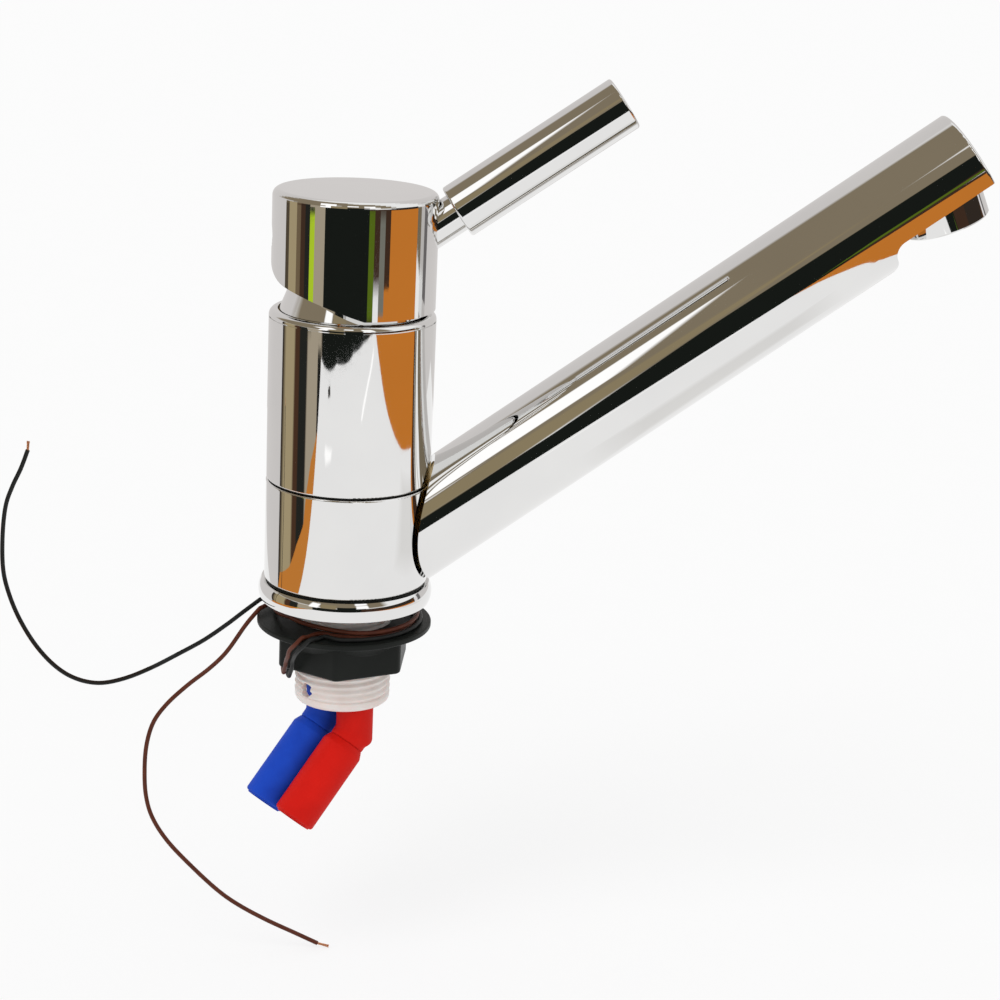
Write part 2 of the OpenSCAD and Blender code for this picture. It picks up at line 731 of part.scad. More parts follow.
// Brass root of the spout: a neck into the collar and a plug that closes the tube's saddle cut.
module spout_root() {
    color([0.78, 0.63, 0.32]) difference() {
        along(spout_angle, spout_z) {
            cylinder(r = neck_d / 2, h = plug_t);
            difference() {
                cylinder(r = bore_r - 0.02, h = plug_t);
                translate([0, 0, -1]) cylinder(r = neck_d / 2 - 1, h = plug_t + 2);
            }
        }
        difference() {
            cylinder(r = saddle_r + 0.4, h = 3 * body_d, center = true);
            along(spout_angle, spout_z) cylinder(r = neck_d / 2, h = plug_t);
        }
        translate([0, 0, -body_d]) cylinder(r = root_r, h = 3 * body_d);
        along(spout_angle, spout_z) cylinder(r = neck_bore_d / 2, h = 2 * plug_t);
    }
}

// Outline of what is cut away below the spout's end: a flat, a step and a rounded lip.
module flat_profile() {
    difference() {
        translate([flat_n, step_t]) square([spout_r, spout_l]);
        translate([flat_n - 1, step_t - 1]) difference() {
            square(step_fillet + 1);
            translate([step_fillet + 1, step_fillet + 1]) circle(r = step_fillet, $fn = 48);
        }
    }
    translate([spout_r - lip_r, step_t - lip_r]) difference() {
        square([lip_r + 2, lip_r + 0.05]);
        circle(r = lip_r, $fn = 64);
    }
}

// Moves its children onto the centre of the aerator's rim, with +Z up along the aerator.
module at_rim() {
    t = spout_l - aerator_t;
    translate([
        t * cos(spout_angle) + aerator_n * sin(spout_angle), 0,
        spout_z + t * sin(spout_angle) - aerator_n * cos(spout_angle)
    ]) rotate([0, -aerator_lean, 0]) children();
}

// Chromed spout tube: saddle cut at the body, flat and closed at its end.
module spout_tube() {
    color([0.86, 0.86, 0.88]) difference() {
        along(spout_angle, spout_z)
            rotate_extrude() rounded_edge(spout_r, spout_l, spout_round);
        along(spout_angle, spout_z) translate([0, 0, -1]) cylinder(r = bore_r, h = hollow_t + 1);
        along(spout_angle, spout_z) cylinder(r = 4.5, h = spout_l - aerator_t);
        along(spout_angle, spout_z) rotate([90, 0, 0])
            linear_extrude(2 * spout_d, center = true) flat_profile();
        translate([0, 0, -3 * body_d]) cylinder(r = saddle_r, h = 6 * body_d);
        at_rim() translate([0, 0, -aerator_h])
            cylinder(r = aerator_d / 2 + 0.05, h = 2 * aerator_h + washer_t);
    }
}

// Chromed ring of the aerator, with a small lip under its insert.
module aerator_ring() {
    r = aerator_d / 2;
    color([0.86, 0.86, 0.88]) at_rim() rotate_extrude() difference() {
        polygon([
            [r - 2.6, 0.3], [r - 2.3, 0], [r - 0.5, 0], [r, 0.5], [r, aerator_h],
            [r - 1.7, aerator_h], [r - 1.7, 1], [r - 2.6, 1]
        ]);
    }
}

// Insert of the aerator: a plate of small holes over a ring.
module aerator_insert() {
    r = aerator_d / 2 - 1.8;
    color([0.75, 0.77, 0.8]) at_rim() difference() {
        translate([0, 0, 1]) cylinder(r = r, h = aerator_h - 1);
        translate([0, 0, 0]) cylinder(r = r - 1.2, h = aerator_h - 2.6);
        for (k = [0:2], i = [0:5 + 6 * k]) rotate([0, 0, 360 * i / (6 + 6 * k)])
            translate([1.5 + 2.4 * k, 0, 0]) cylinder(r = 0.55, h = aerator_h + 1, $fn = 16);
    }
}

// Rubber washer over the aerator.
module aerator_seal() {
    color([0.12, 0.12, 0.12]) at_rim()
        tube_of(aerator_d / 2 - 3.6, aerator_d / 2, washer_t - 0.05, aerator_h);
}

// Rotor of the cartridge: it turns with the lever, carries the pivot pin and guides the carrier.
module rotor() {
    color([0.8, 0.8, 0.78]) difference() {
        union() {
            translate([0, 0, rotor_z]) cylinder(r = shell_in_r - run, h = 1.4);
            translate([0, 0, rotor_z]) cylinder(r = neck_in_r - run, h = housing_top - rotor_z);
            intersection() {
                tube_of(carrier_w / 2 + 0.1, shell_in_r - run, rotor_z - rail_z, rail_z);
                for (s = [-1, 1]) translate([-cartridge_d / 2, -cartridge_d / 2, rail_z])
                    translate([0, s > 0 ? cartridge_d / 2 + carrier_w / 2 + 0.15 : 0, 0])
                        cube([cartridge_d, cartridge_d / 2 - carrier_w / 2 - 0.15, rotor_z]);
            }
        }
        translate([-stem_w / 2 - 1.8, -stem_w / 2 - 0.15, rotor_z - 1])
            cube([stem_w + 4.3, stem_w + 0.3, housing_top]);
        translate([0, 0, pivot_z]) rotate([90, 0, 0])
            cylinder(r = pin_d / 2 + 0.01, h = cartridge_d, center = true);
    }
}

// Steel pin on which the stem tilts.
module pivot_pin() {
    color([0.7, 0.7, 0.72]) translate([0, 0, pivot_z]) rotate([90, 0, 0])
        cylinder(r = pin_d / 2, h = 2 * neck_in_r - 0.6, center = true);
}

// Outline of what slides in the rotor, flat on both sides.
module slider(r, h, z) {
    intersection() {
        translate([-travel / 2, 0, z]) cylinder(r = r, h = h);
        translate([-cartridge_d, -carrier_w / 2, z]) cube([2 * cartridge_d, carrier_w, h]);
    }
}

// Moving ceramic disc, hollowed below so that it joins the ports it covers.
module moving_disc() {
    color([0.93, 0.93, 0.9]) difference() {
        slider(disc_d / 2, disc_t, mover_z);
        translate([-travel / 2, 0, mover_z - 1]) cylinder(r = disc_d / 2 - 4.5, h = disc_t - 0.5);
    }
}

// Carrier of the moving disc, with the pocket for the stem's ball.
module disc_carrier() {
    color([0.2, 0.22, 0.25]) difference() {
        slider(disc_d / 2, rotor_z - 0.5 - carrier_z, carrier_z);
        translate([0, 0, ball_z - ball_d / 2 - 0.5]) cylinder(r = ball_d / 2 + 0.12, h = ball_d * 2);
    }
}

// Stem: a ball below the pivot pin and a square above it, in the cap's boss.
module stem() {
    color([0.82, 0.68, 0.4]) difference() {
        union() {
            translate([-stem_w / 2, -stem_w / 2, pivot_z - 6])
                cube([stem_w, stem_w, boss_z + socket_l - pivot_z + 6 - 0.3]);
            translate([0, 0, ball_z]) cylinder(r = ball_d / 2 - 1.1, h = pivot_z - ball_z - 4);
            translate([0, 0, ball_z]) sphere(d = ball_d);
        }
        translate([0, 0, pivot_z]) rotate([90, 0, 0])
            cylinder(r = pin_d / 2 + run, h = 2 * stem_w, center = true);
    }
}

// Outline of what is cut away below the cap's rear edge: the slope and its rounded corner.
module rear_profile() {
    out = -cap_r - 1;
    slope = [sin(cap_slope), cos(cap_slope)];
    x = cap_corner - cap_r;
    z = (cap_corner - (x - cap_slope_x) * slope[0]) / slope[1];
    polygon([
        [cap_slope_x, 0], [cap_slope_x, -1], [out, -1],
        [out, (cap_slope_x - out) * slope[0] / slope[1]]
    ]);
    difference() {
        polygon([
            [x, z], [x, z] - (cap_corner + 0.5) * slope,
            [out, (cap_slope_x - out) * slope[0] / slope[1] - 0.5], [out, z]
        ]);
        translate([x, z]) circle(r = cap_corner, $fn = 64);
    }
}

// Cap of the lever: hollow, with a boss for the stem and one for the grip's rod, and a sloped
// rear edge that clears the body when the lever lifts.
module lever_cap() {
    in_r = cap_r - cap_wall;
    color([0.86, 0.86, 0.88]) difference() {
        union() {
            difference() {
                translate([0, 0, cap_z]) rotate_extrude() rounded_edge(cap_r, cap_h, cap_round);
                translate([0, 0, cap_z - 1]) cylinder(r = in_r, h = cap_h - cap_top + 1);
            }
            translate([0, 0, boss_z]) cylinder(r = boss_r, h = cap_end - cap_top - boss_z + 0.5);
            intersection() {
                along(grip_angle, grip_z) translate([0, 0, rod_t - 1])
                    cylinder(r = rod_d / 2 + 1.5, h = cap_d);
                translate([0, 0, cap_z]) cylinder(r = in_r + 0.5, h = cap_h - cap_top + 0.5);
            }
        }
        translate([-stem_w / 2 - 0.05, -stem_w / 2 - 0.05, boss_z - 1])
            cube([stem_w + 0.1, stem_w + 0.1, socket_l + 1]);
        along(grip_angle, grip_z) translate([0, 0, rod_t]) cylinder(r = rod_d / 2 + 0.03, h = cap_d);
        translate([0, 0, cap_z]) rotate([90, 0, 0])
            linear_extrude(2 * cap_d, center = true) rear_profile();
        translate([0, 0, screw_z]) rotate([0, -90, 0]) cylinder(r = screw_r + 0.02, h = cap_r - 1);
        translate([0, 0, screw_z]) rotate([0, -90, 0])
            translate([0, 0, boss_r + 2]) cylinder(r = plug_r + 0.05, h = cap_r);
    }
}

// Rod between the cap and the grip.
module lever_rod() {
    color([0.86, 0.86, 0.88]) along(grip_angle, grip_z) translate([0, 0, rod_t + 0.1])
        cylinder(r = rod_d / 2, h = grip_start + rod_seat - rod_t - 0.3);
}

// Chromed grip, with rounded edges at both ends.
module lever_grip() {
    r = grip_d / 2;
    color([0.86, 0.86, 0.88]) along(grip_angle, grip_z) translate([0, 0, grip_start])
        difference() {
            rotate_extrude() difference() {
                rounded_edge(r, grip_l, grip_round);
                translate([r - grip_round, grip_round]) difference() {
                    translate([0, -grip_round - 1]) square([2, grip_round + 1]);
                    circle(r = grip_round, $fn = 48);
                }
            }
            translate([0, 0, -1]) cylinder(r = rod_d / 2 + 0.03, h = rod_seat + 1);
        }
}

// Screw that holds the cap on the stem, from the rear.
module grub_screw() {
    color([0.6, 0.6, 0.62]) translate([-stem_w / 2 - 0.05, 0, screw_z]) rotate([0, -90, 0])
        difference() {
            cylinder(r = screw_r, h = boss_r - stem_w / 2);
            translate([0, 0, boss_r - stem_w / 2 - 1.8]) cylinder(r = 1.45, h = 3, $fn = 6);
        }
}

// Plug that closes the screw's access hole in the rear of the cap.
module indicator_plug() {
    color([0.75, 0.2, 0.15]) translate([-cap_r + cap_wall, 0, screw_z]) rotate([0, -90, 0])
        cylinder(r = plug_r, h = cap_wall - 0.3);
}

base_ring();
base_gasket();
core();
lower_slip_ring();
upper_slip_ring();
upper_sleeve();
lower_seal();
upper_seal();
bonnet();
cartridge_base();
cartridge_housing();
fixed_disc();
clamp_nut();
switch_capsule();
shank();
flanged_nut();
hot_tail();
cold_tail();
hot_elbow();
cold_elbow();
hot_sleeve();
cold_sleeve();
brown_wrap();
black_wrap();
brown_lead();
black_lead();
brown_tip();
black_tip();
swivel_collar();
spout_root();
spout_tube();
aerator_ring();
aerator_insert();
aerator_seal();
rotor();
pivot_pin();
moving_disc();
disc_carrier();
stem();
lever_cap();
lever_rod();
lever_grip();
grub_screw();
indicator_plug();
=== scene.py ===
"""Single lever mixer tap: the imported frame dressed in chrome, plastic, rubber and copper."""

import logging
import math
from collections import Counter
from collections.abc import Callable, Sequence
from dataclasses import astuple, dataclass
from enum import Enum

import bpy
from mathutils import Matrix, Vector


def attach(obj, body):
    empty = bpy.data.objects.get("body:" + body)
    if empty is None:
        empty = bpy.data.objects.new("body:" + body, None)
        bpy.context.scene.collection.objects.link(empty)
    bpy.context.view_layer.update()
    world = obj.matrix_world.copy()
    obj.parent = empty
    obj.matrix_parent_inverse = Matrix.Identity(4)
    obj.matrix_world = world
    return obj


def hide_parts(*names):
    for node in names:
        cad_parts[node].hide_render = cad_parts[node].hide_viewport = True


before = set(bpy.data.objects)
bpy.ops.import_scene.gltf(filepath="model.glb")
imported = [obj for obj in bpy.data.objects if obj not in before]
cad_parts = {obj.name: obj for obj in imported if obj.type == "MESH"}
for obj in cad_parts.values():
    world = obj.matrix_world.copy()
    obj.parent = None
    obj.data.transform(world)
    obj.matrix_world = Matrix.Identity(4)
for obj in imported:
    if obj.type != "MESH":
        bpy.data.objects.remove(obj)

log = logging.getLogger("tap")

FIXED_BODY = "body"
# The tap's sizes are in millimetres, which MM turns into metres, and the studio's in metres
MM = 0.001
# Points nearer than this merge, in metres, first on a drawn line and then on a piece
LINE_WELD = 1e-7
WELD = 2e-6
# How far a cutting tool reaches past a piece, in millimetres
PAST = 1.0
# The attribute that fades a card or board out at its rim
EDGE = "edge"

RGB = tuple[float, float, float]
Point = tuple[float, float, float]
Corner = tuple[float, float] | tuple[float, float, float]
Object = bpy.types.Object
Socket = bpy.types.NodeSocket

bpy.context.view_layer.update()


class Step(Enum):
    """What a tool does to the piece that it meets."""

    CUT = "DIFFERENCE"
    JOIN = "UNION"


class Tree:
    """A short hand for the nodes of a material or of the world."""

    # Nearly all of a noise lies between these two
    DARK, BRIGHT = 0.3, 0.7

    def __init__(self, owner: bpy.types.Material | bpy.types.World) -> None:
        """Clear the nodes and add the output.

        Args:
            owner: The material or the world.
        """
        owner.use_nodes = True
        self.owner = owner
        self.nodes, self.links = owner.node_tree.nodes, owner.node_tree.links
        self.nodes.clear()
        kind = "World" if isinstance(owner, bpy.types.World) else "Material"
        self.output = self.add(f"Output{kind}")

    def add(
        self, kind: str, inputs: dict[str | int, object] | None = None, **settings: str
    ) -> bpy.types.Node:
        """Add a node and fill it in.

        Args:
            kind: The node's type, without its prefix.
            inputs: For each input a value, the socket that feeds it, or None to leave it.
            **settings: The node's own settings, which come before its inputs.

        Returns:
            The node.
        """
        node = self.nodes.new(f"ShaderNode{kind}")
        for name, value in settings.items():
            setattr(node, name, value)
        for key, value in (inputs or {}).items():
            if isinstance(value, Socket):
                self.links.new(value, node.inputs[key])
            elif value is not None:
                node.inputs[key].default_value = value
        return node

    def place(self) -> Socket:
        """Give the object's own coordinates."""
        return self.add("TexCoord").outputs["Object"]

    def mapped(self, stretch: Point) -> Socket:
        """Give the object's own coordinates, scaled along each axis."""
        inputs = {"Vector": self.place(), "Scale": stretch}
        return self.add("Mapping", inputs, vector_type="POINT").outputs["Vector"]

    def noise(self, where: Socket, scale: float, detail: float, roughness: float = 0.5) -> Socket:
        """Add a noise pattern.

        Args:
            where: The coordinates.
            scale: The pattern's scale, per metre.
            detail: How many finer layers lie on it.
            roughness: How strong the finer layers are.

        Returns:
            The noise, from 0 to 1.
        """
        inputs = {"Vector": where, "Scale": scale, "Detail": detail, "Roughness": roughness}
        return self.add("TexNoise", inputs).outputs["Fac"]

    def spread(self, value: Socket, low: float, high: float) -> Socket:
        """Spread a noise over a range.

        Args:
            value: The noise.
            low: What its dark parts become.
            high: What its bright parts become.

        Returns:
            The spread value.
        """
        inputs = {"Value": value, "From Min": self.DARK, "From Max": self.BRIGHT}
        inputs |= {"To Min": low, "To Max": high}
        return self.add("MapRange", inputs).outputs["Result"]

    def blend(self, factor: Socket, first: RGB, second: RGB) -> Socket:
        """Blend two colours by a factor."""
        inputs = {"Factor": factor, "A": (*first, 1.0), "B": (*second, 1.0)}
        return self.add("Mix", inputs, data_type="RGBA").outputs["Result"]

    def bumps(
        self, height: Socket, strength: float, depth: float, under: Socket | None = None
    ) -> Socket:
        """Turn a height pattern of a depth in metres into bumps, over others if there are any."""
        inputs = {"Strength": strength, "Distance": depth, "Height": height, "Normal": under}
        return self.add("Bump", inputs).outputs["Normal"]

    def work(self, operation: str, first: Socket, second: Socket | float) -> Socket:
        """Work out one value from two."""
        return self.add("Math", {0: first, 1: second}, operation=operation).outputs[0]

    def seen(self) -> Socket:
        """Tell the rays of the eye, the mirrors and glass from those that only carry light.

        Returns:
            1 for the eye, mirrors and glass, and otherwise 0.
        """
        rays = self.add("LightPath").outputs
        direct = self.work("MAXIMUM", rays["Is Camera Ray"], rays["Is Glossy Ray"])
        return self.work("MAXIMUM", direct, rays["Is Transmission Ray"])

    def show(self, shader: Socket) -> None:
        """Join a shader to the output."""
        self.links.new(shader, self.output.inputs["Surface"])

    def fade(self, factor: Socket, first: Socket, second: Socket) -> None:
        """Blend two shaders by a factor and join the blend to the output."""
        self.show(self.add("MixShader", {"Fac": factor, 1: first, 2: second}).outputs["Shader"])


@dataclass(frozen=True)
class Finish:
    """A surface finish: its colours, gloss, grain and the slot that its material is named after.
    """

    slot: str
    colour: RGB
    tint: RGB
    metal: float = 0.0
    rough_low: float = 0.3
    rough_high: float = 0.5
    grain: float = 1500.0
    grain_depth: float = 0.00002
    grain_strength: float = 0.3
    wave: float = 0.0
    wave_depth: float = 0.0
    wave_strength: float = 0.0
    patch: float = 120.0
    stretch: Point = (1.0, 1.0, 1.0)
    sink_in: float = 0.0
    sink_colour: RGB = (1.0, 1.0, 1.0)
    sink_scale: float = 0.004
    specular: float = 0.5

    def material(self) -> bpy.types.Material:
        """Build the finish as a material, or find it if it has been built.

        Returns:
            The material.
        """
        name = f"{self.slot}_plain"
        made = bpy.data.materials.get(name)
        if made is not None:
            return made
        tree = Tree(bpy.data.materials.new(name))
        where = tree.mapped(self.stretch)
        patches = tree.spread(tree.noise(where, self.patch, detail=4.0), 0.0, 1.0)
        fine = tree.noise(where, self.grain, detail=3.0, roughness=0.6)
        waves = None
        if self.wave_strength > 0.0:
            swell = tree.noise(where, self.wave, detail=1.0, roughness=0.3)
            waves = tree.bumps(swell, self.wave_strength, self.wave_depth)
        inputs = {
            "Base Color": tree.blend(patches, self.colour, self.tint),
            "Roughness": tree.spread(fine, self.rough_low, self.rough_high),
            "Normal": tree.bumps(fine, self.grain_strength, self.grain_depth, waves),
            "Metallic": self.metal,
            "Specular IOR Level": self.specular,
        }
        if self.sink_in > 0.0:
            inputs["Subsurface Weight"] = self.sink_in
            inputs["Subsurface Radius"] = self.sink_colour
            inputs["Subsurface Scale"] = self.sink_scale
        tree.show(tree.add("BsdfPrincipled", inputs).outputs["BSDF"])
        return tree.owner

    def dress(self, piece: Object) -> None:
        """Give a piece this finish all over.

        Args:
            piece: The piece.
        """
        for held in piece.material_slots:
            held.material = self.material()
        if not piece.material_slots:
            piece.data.materials.append(self.material())


CHROME = Finish(
    "chromed_brass", (0.80, 0.80, 0.79), (0.77, 0.77, 0.765), metal=1.0, rough_low=0.015,
    rough_high=0.045, grain=900.0, grain_depth=0.000002, grain_strength=0.04, wave=55.0,
    wave_depth=0.00006, wave_strength=0.05, patch=45.0,
)
BRASS = Finish(
    "brass", (0.66, 0.47, 0.17), (0.52, 0.36, 0.12), metal=1.0, rough_low=0.22, rough_high=0.4,
    grain=1800.0, grain_strength=0.2, stretch=(1.0, 1.0, 0.2),
)
STEEL = Finish(
    "steel", (0.50, 0.50, 0.51), (0.40, 0.40, 0.41), metal=1.0, rough_low=0.2, rough_high=0.35,
    grain=2500.0, grain_strength=0.15,
)
COPPER = Finish(
    "copper", (0.62, 0.27, 0.15), (0.45, 0.17, 0.09), metal=1.0, rough_low=0.25, rough_high=0.45,
    grain=1500.0, grain_strength=0.2, stretch=(1.0, 1.0, 0.15),
)
RUBBER = Finish(
    "black_rubber", (0.014, 0.014, 0.014), (0.024, 0.023, 0.022), rough_low=0.65, rough_high=0.85,
    grain=3200.0, grain_depth=0.00004,
)
BLACK_PLASTIC = Finish(
    "black_plastic", (0.0085, 0.0100, 0.0088), (0.0125, 0.0145, 0.0128), rough_low=0.34,
    rough_high=0.50, grain=2600.0, grain_depth=0.00003, grain_strength=0.25, patch=90.0,
    specular=0.13,
)
WHITE_PLASTIC = Finish(
    "white_plastic", (0.86, 0.80, 0.77), (0.80, 0.71, 0.67), rough_low=0.34, rough_high=0.48,
    grain=1600.0, grain_strength=0.15, patch=160.0, sink_in=0.45, sink_colour=(1.0, 0.66, 0.58),
    sink_scale=0.0022, specular=0.3,
)
RED_PLASTIC = Finish(
    "red_plastic", (0.68, 0.0105, 0.0050), (0.60, 0.0085, 0.0042), rough_low=0.5, rough_high=0.68,
    grain=2100.0, grain_depth=0.00003, patch=110.0, specular=0.12,
)
BLUE_PLASTIC = Finish(
    "blue_plastic", (0.012, 0.070, 0.54), (0.009, 0.052, 0.44), rough_low=0.5, rough_high=0.68,
    grain=2100.0, grain_depth=0.00003, patch=110.0, specular=0.12,
)
CERAMIC = Finish(
    "ceramic", (0.86, 0.85, 0.82), (0.82, 0.81, 0.78), rough_low=0.12, rough_high=0.22,
    grain=2400.0, grain_strength=0.08,
)
GREY_PLASTIC = Finish(
    "grey_plastic", (0.55, 0.56, 0.57), (0.48, 0.49, 0.50), rough_low=0.35, rough_high=0.5,
    grain=2400.0, grain_strength=0.2,
)
BROWN_INSULATION = Finish(
    "brown_insulation", (0.115, 0.030, 0.014), (0.080, 0.019, 0.009), rough_low=0.36,
    rough_high=0.50, grain=2600.0, patch=260.0, specular=0.2,
)
BLACK_INSULATION = Finish(
    "black_insulation", (0.0095, 0.0105, 0.0100), (0.0160, 0.0170, 0.0165), rough_low=0.36,
    rough_high=0.50, grain=2600.0, patch=260.0, specular=0.2,
)
BARE_COPPER = Finish(
    "bare_copper", (0.72, 0.36, 0.20), (0.62, 0.27, 0.14), metal=1.0, rough_low=0.25,
    rough_high=0.4, grain=3200.0,
)

KEPT = {
    CHROME: (
        "base_ring", "swivel_collar", "upper_sleeve", "bonnet", "lever_cap", "lever_rod",
        "lever_grip", "spout_tube", "aerator_ring",
    ),
    BRASS: ("core", "clamp_nut", "spout_root", "stem"),
    STEEL: ("pivot_pin", "grub_screw"),
    COPPER: ("hot_tail", "cold_tail"),
    RUBBER: ("base_gasket", "lower_seal", "upper_seal", "aerator_seal"),
    BLACK_PLASTIC: (
        "lower_slip_ring", "upper_slip_ring", "cartridge_base", "disc_carrier", "flanged_nut",
        "switch_capsule",
    ),
    WHITE_PLASTIC: ("shank",),
    RED_PLASTIC: ("hot_elbow", "hot_sleeve", "indicator_plug"),
    BLUE_PLASTIC: ("cold_elbow", "cold_sleeve"),
    CERAMIC: ("fixed_disc", "moving_disc"),
    GREY_PLASTIC: ("cartridge_housing", "rotor", "aerator_insert"),
}


def dress_kept_nodes() -> None:
    """Give every CAD node its finish, also those that a piece replaces later."""
    for finish, names in KEPT.items():
        for name in names:
            finish.dress(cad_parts[name])
            log.info("node %s: %s", name, finish.slot)


def fit(piece: Object, finish: Finish, node: str) -> None:
    """Dress a new piece, ride it on the fixed body and let it stand for its CAD node.

    Args:
        piece: The finished piece.
        finish: Its finish.
        node: The CAD node that it stands for.
    """
    finish.dress(piece)
    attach(piece, FIXED_BODY)
    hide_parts(node)
    log.info("piece %s on %s: %s", piece.name, FIXED_BODY, finish.slot)


def polar(radius: float, azimuth: float, height: float) -> Point:
    """Give a point by its distance from the axis, its direction in degrees and its height."""
    a = math.radians(azimuth)
    return (radius * math.cos(a), radius * math.sin(a), height)


def rounded(outline: Sequence[tuple[float, ...]], steps: int = 5) -> list[tuple[float, float]]:
    """Round the corners of an outline.

    Args:
        outline: Its corners: distance from the axis, height and, where it is round, the radius.
        steps: How many stretches each rounding has.

    Returns:
        The outline's points.
    """
    out = []
    for i, corner in enumerate(outline):
        here = Vector(corner[:2])
        if len(corner) < 3:
            out.append(tuple(here))
            continue
        before = (Vector(outline[i - 1][:2]) - here).normalized()
        after = (Vector(outline[(i + 1) % len(outline)][:2]) - here).normalized()
        half = before.angle(after) / 2
        reach, radius = corner[2] / math.tan(half), corner[2]
        middle = here + (before + after).normalized() * (radius / math.sin(half))
        first, last = here + before * reach - middle, here + after * reach - middle
        for k in range(steps + 1):
            arm = first.lerp(last, k / steps).normalized()
            out.append(tuple(middle + arm * radius))
    return out


class Bench:
    """The modelling steps that the pieces share, worked as by hand."""

    @staticmethod
    def take(*pieces: Object) -> None:
        """Leave edit mode and select only the given pieces, the last one active.

        Args:
            *pieces: The pieces.
        """
        held = bpy.context.object
        if held is not None and held.mode != "OBJECT":
            bpy.ops.object.mode_set(mode="OBJECT")
        bpy.ops.object.select_all(action="DESELECT")
        for piece in pieces:
            piece.select_set(True)
            bpy.context.view_layer.objects.active = piece

    @classmethod
    def trace(cls, name: str, points: Sequence[Vector], closed: bool) -> Object:
        """Draw a line of edges, one extruded point after the other.

        Args:
            name: The piece's name.
            points: Its points in metres.
            closed: Whether the last point is joined to the first.

        Returns:
            The line, in edit mode with all of it selected.
        """
        cls.take()
        bpy.ops.mesh.primitive_plane_add(size=MM)
        piece = bpy.context.object
        piece.name = piece.data.name = name
        bpy.ops.object.mode_set(mode="EDIT")
        bpy.ops.mesh.select_mode(type="VERT")
        bpy.ops.mesh.select_all(action="SELECT")
        bpy.ops.mesh.merge(type="CENTER")
        bpy.ops.transform.translate(value=points[0])
        ends = [*points[1:], points[0]] if closed else points[1:]
        for before, after in zip(points, ends):
            step = tuple(after - before)
            bpy.ops.mesh.extrude_region_move(TRANSFORM_OT_translate={"value": step})
        bpy.ops.mesh.select_all(action="SELECT")
        bpy.ops.mesh.remove_doubles(threshold=LINE_WELD)
        return piece

    @classmethod
    def draw(cls, name: str, outline: Sequence[Corner], closed: bool = False) -> Object:
        """Draw an outline beside the Z axis.

        Args:
            name: The piece's name.
            outline: Its points in millimetres: distance from the axis, and height.
            closed: Whether the last point is joined to the first.

        Returns:
            The outline, in edit mode with all of it selected.
        """
        return cls.trace(name, [Vector((c[0], 0.0, c[1])) * MM for c in outline], closed)

    @classmethod
    def turn(
        cls, name: str, outline: Sequence[Corner], closed: bool = True, sides: int = 96
    ) -> Object:
        """Turn an outline about the Z axis, as on a lathe.

        Args:
            name: The piece's name.
            outline: Its points in millimetres, to the axis where it isn't closed.
            closed: Whether the last point is joined to the first.
            sides: How many steps go round.

        Returns:
            The turned piece.
        """
        piece = cls.draw(name, outline, closed)
        bpy.ops.mesh.spin(steps=sides, angle=2 * math.pi, center=(0, 0, 0), axis=(0, 0, 1))
        cls.tidy(piece)
        return piece

    @classmethod
    def edit(cls, piece: Object) -> None:
        """Enter edit mode with all of a piece selected.

        Args:
            piece: The piece.
        """
        cls.take(piece)
        bpy.ops.object.mode_set(mode="EDIT")
        bpy.ops.mesh.select_all(action="SELECT")

    @classmethod
    def apply(cls, piece: Object, kind: str, **settings: object) -> None:
        """Give a piece a modifier and apply it.

        Args:
            piece: The piece.
            kind: The modifier's type.
            **settings: The modifier's settings.
        """
        cls.take(piece)
        work = piece.modifiers.new(kind.lower(), kind)
        for name, value in settings.items():
            setattr(work, name, value)
        bpy.ops.object.modifier_apply(modifier=work.name)

    @classmethod
    def tidy(cls, piece: Object, crease: float = 30.0) -> None:
        """Merge doubles, point the faces outwards and shade the piece.

        Args:
            piece: The piece.
            crease: The angle in degrees past which an edge looks sharp.
        """
        cls.edit(piece)
        bpy.ops.mesh.remove_doubles(threshold=WELD)
        bpy.ops.mesh.normals_make_consistent(inside=False)
        bpy.ops.object.mode_set(mode="OBJECT")
        bpy.ops.object.shade_smooth_by_angle(angle=math.radians(crease))

    @classmethod
    def carve(cls, piece: Object, tool: Object, step: Step = Step.CUT) -> None:
        """Cut a tool out of a piece, or join it on, and put the tool away.

        Args:
            piece: The piece.
            tool: The shape that cuts it or joins it.
            step: Whether to cut or to join.
        """
        cls.apply(piece, "BOOLEAN", operation=step.value, solver="EXACT", object=tool)
        bpy.data.objects.remove(tool)

    @classmethod
    def rod(cls, radius: float, low: float, high: float, sides: int = 96) -> Object:
        """Add a plain round tool along the Z axis.

        Args:
            radius: Its radius in millimetres.
            low: Its lower end's height.
            high: Its upper end's height.
            sides: How many sides it has.

        Returns:
            The tool.
        """
        cls.take()
        bpy.ops.mesh.primitive_cylinder_add(
            vertices=sides, radius=radius * MM, depth=(high - low) * MM,
            location=(0.0, 0.0, (low + high) / 2 * MM),
        )
        tool = bpy.context.object
        bpy.ops.object.transform_apply(location=True)
        return tool

    @classmethod
    def lean(cls, piece: Object, along: Point, place: Point) -> None:
        """Point a piece's Z axis along a direction and set the piece at its place.

        Args:
            piece: The piece.
            along: The direction.
            place: The place in millimetres.
        """
        cls.take(piece)
        piece.rotation_mode = "QUATERNION"
        piece.rotation_quaternion = Vector((0.0, 0.0, 1.0)).rotation_difference(Vector(along))
        piece.location = Vector(place) * MM
        bpy.ops.object.transform_apply(location=True, rotation=True, scale=True)

    @classmethod
    def trim(cls, piece: Object, place: Point, facing: Point) -> None:
        """Cut away all of a piece that lies past a plane, and close the cut.

        Args:
            piece: The piece.
            place: A point of the plane, in millimetres.
            facing: The direction in which the waste lies.
        """
        cls.edit(piece)
        bpy.ops.mesh.bisect(
            plane_co=Vector(place) * MM, plane_no=facing, use_fill=True, clear_outer=True
        )
        bpy.ops.object.mode_set(mode="OBJECT")

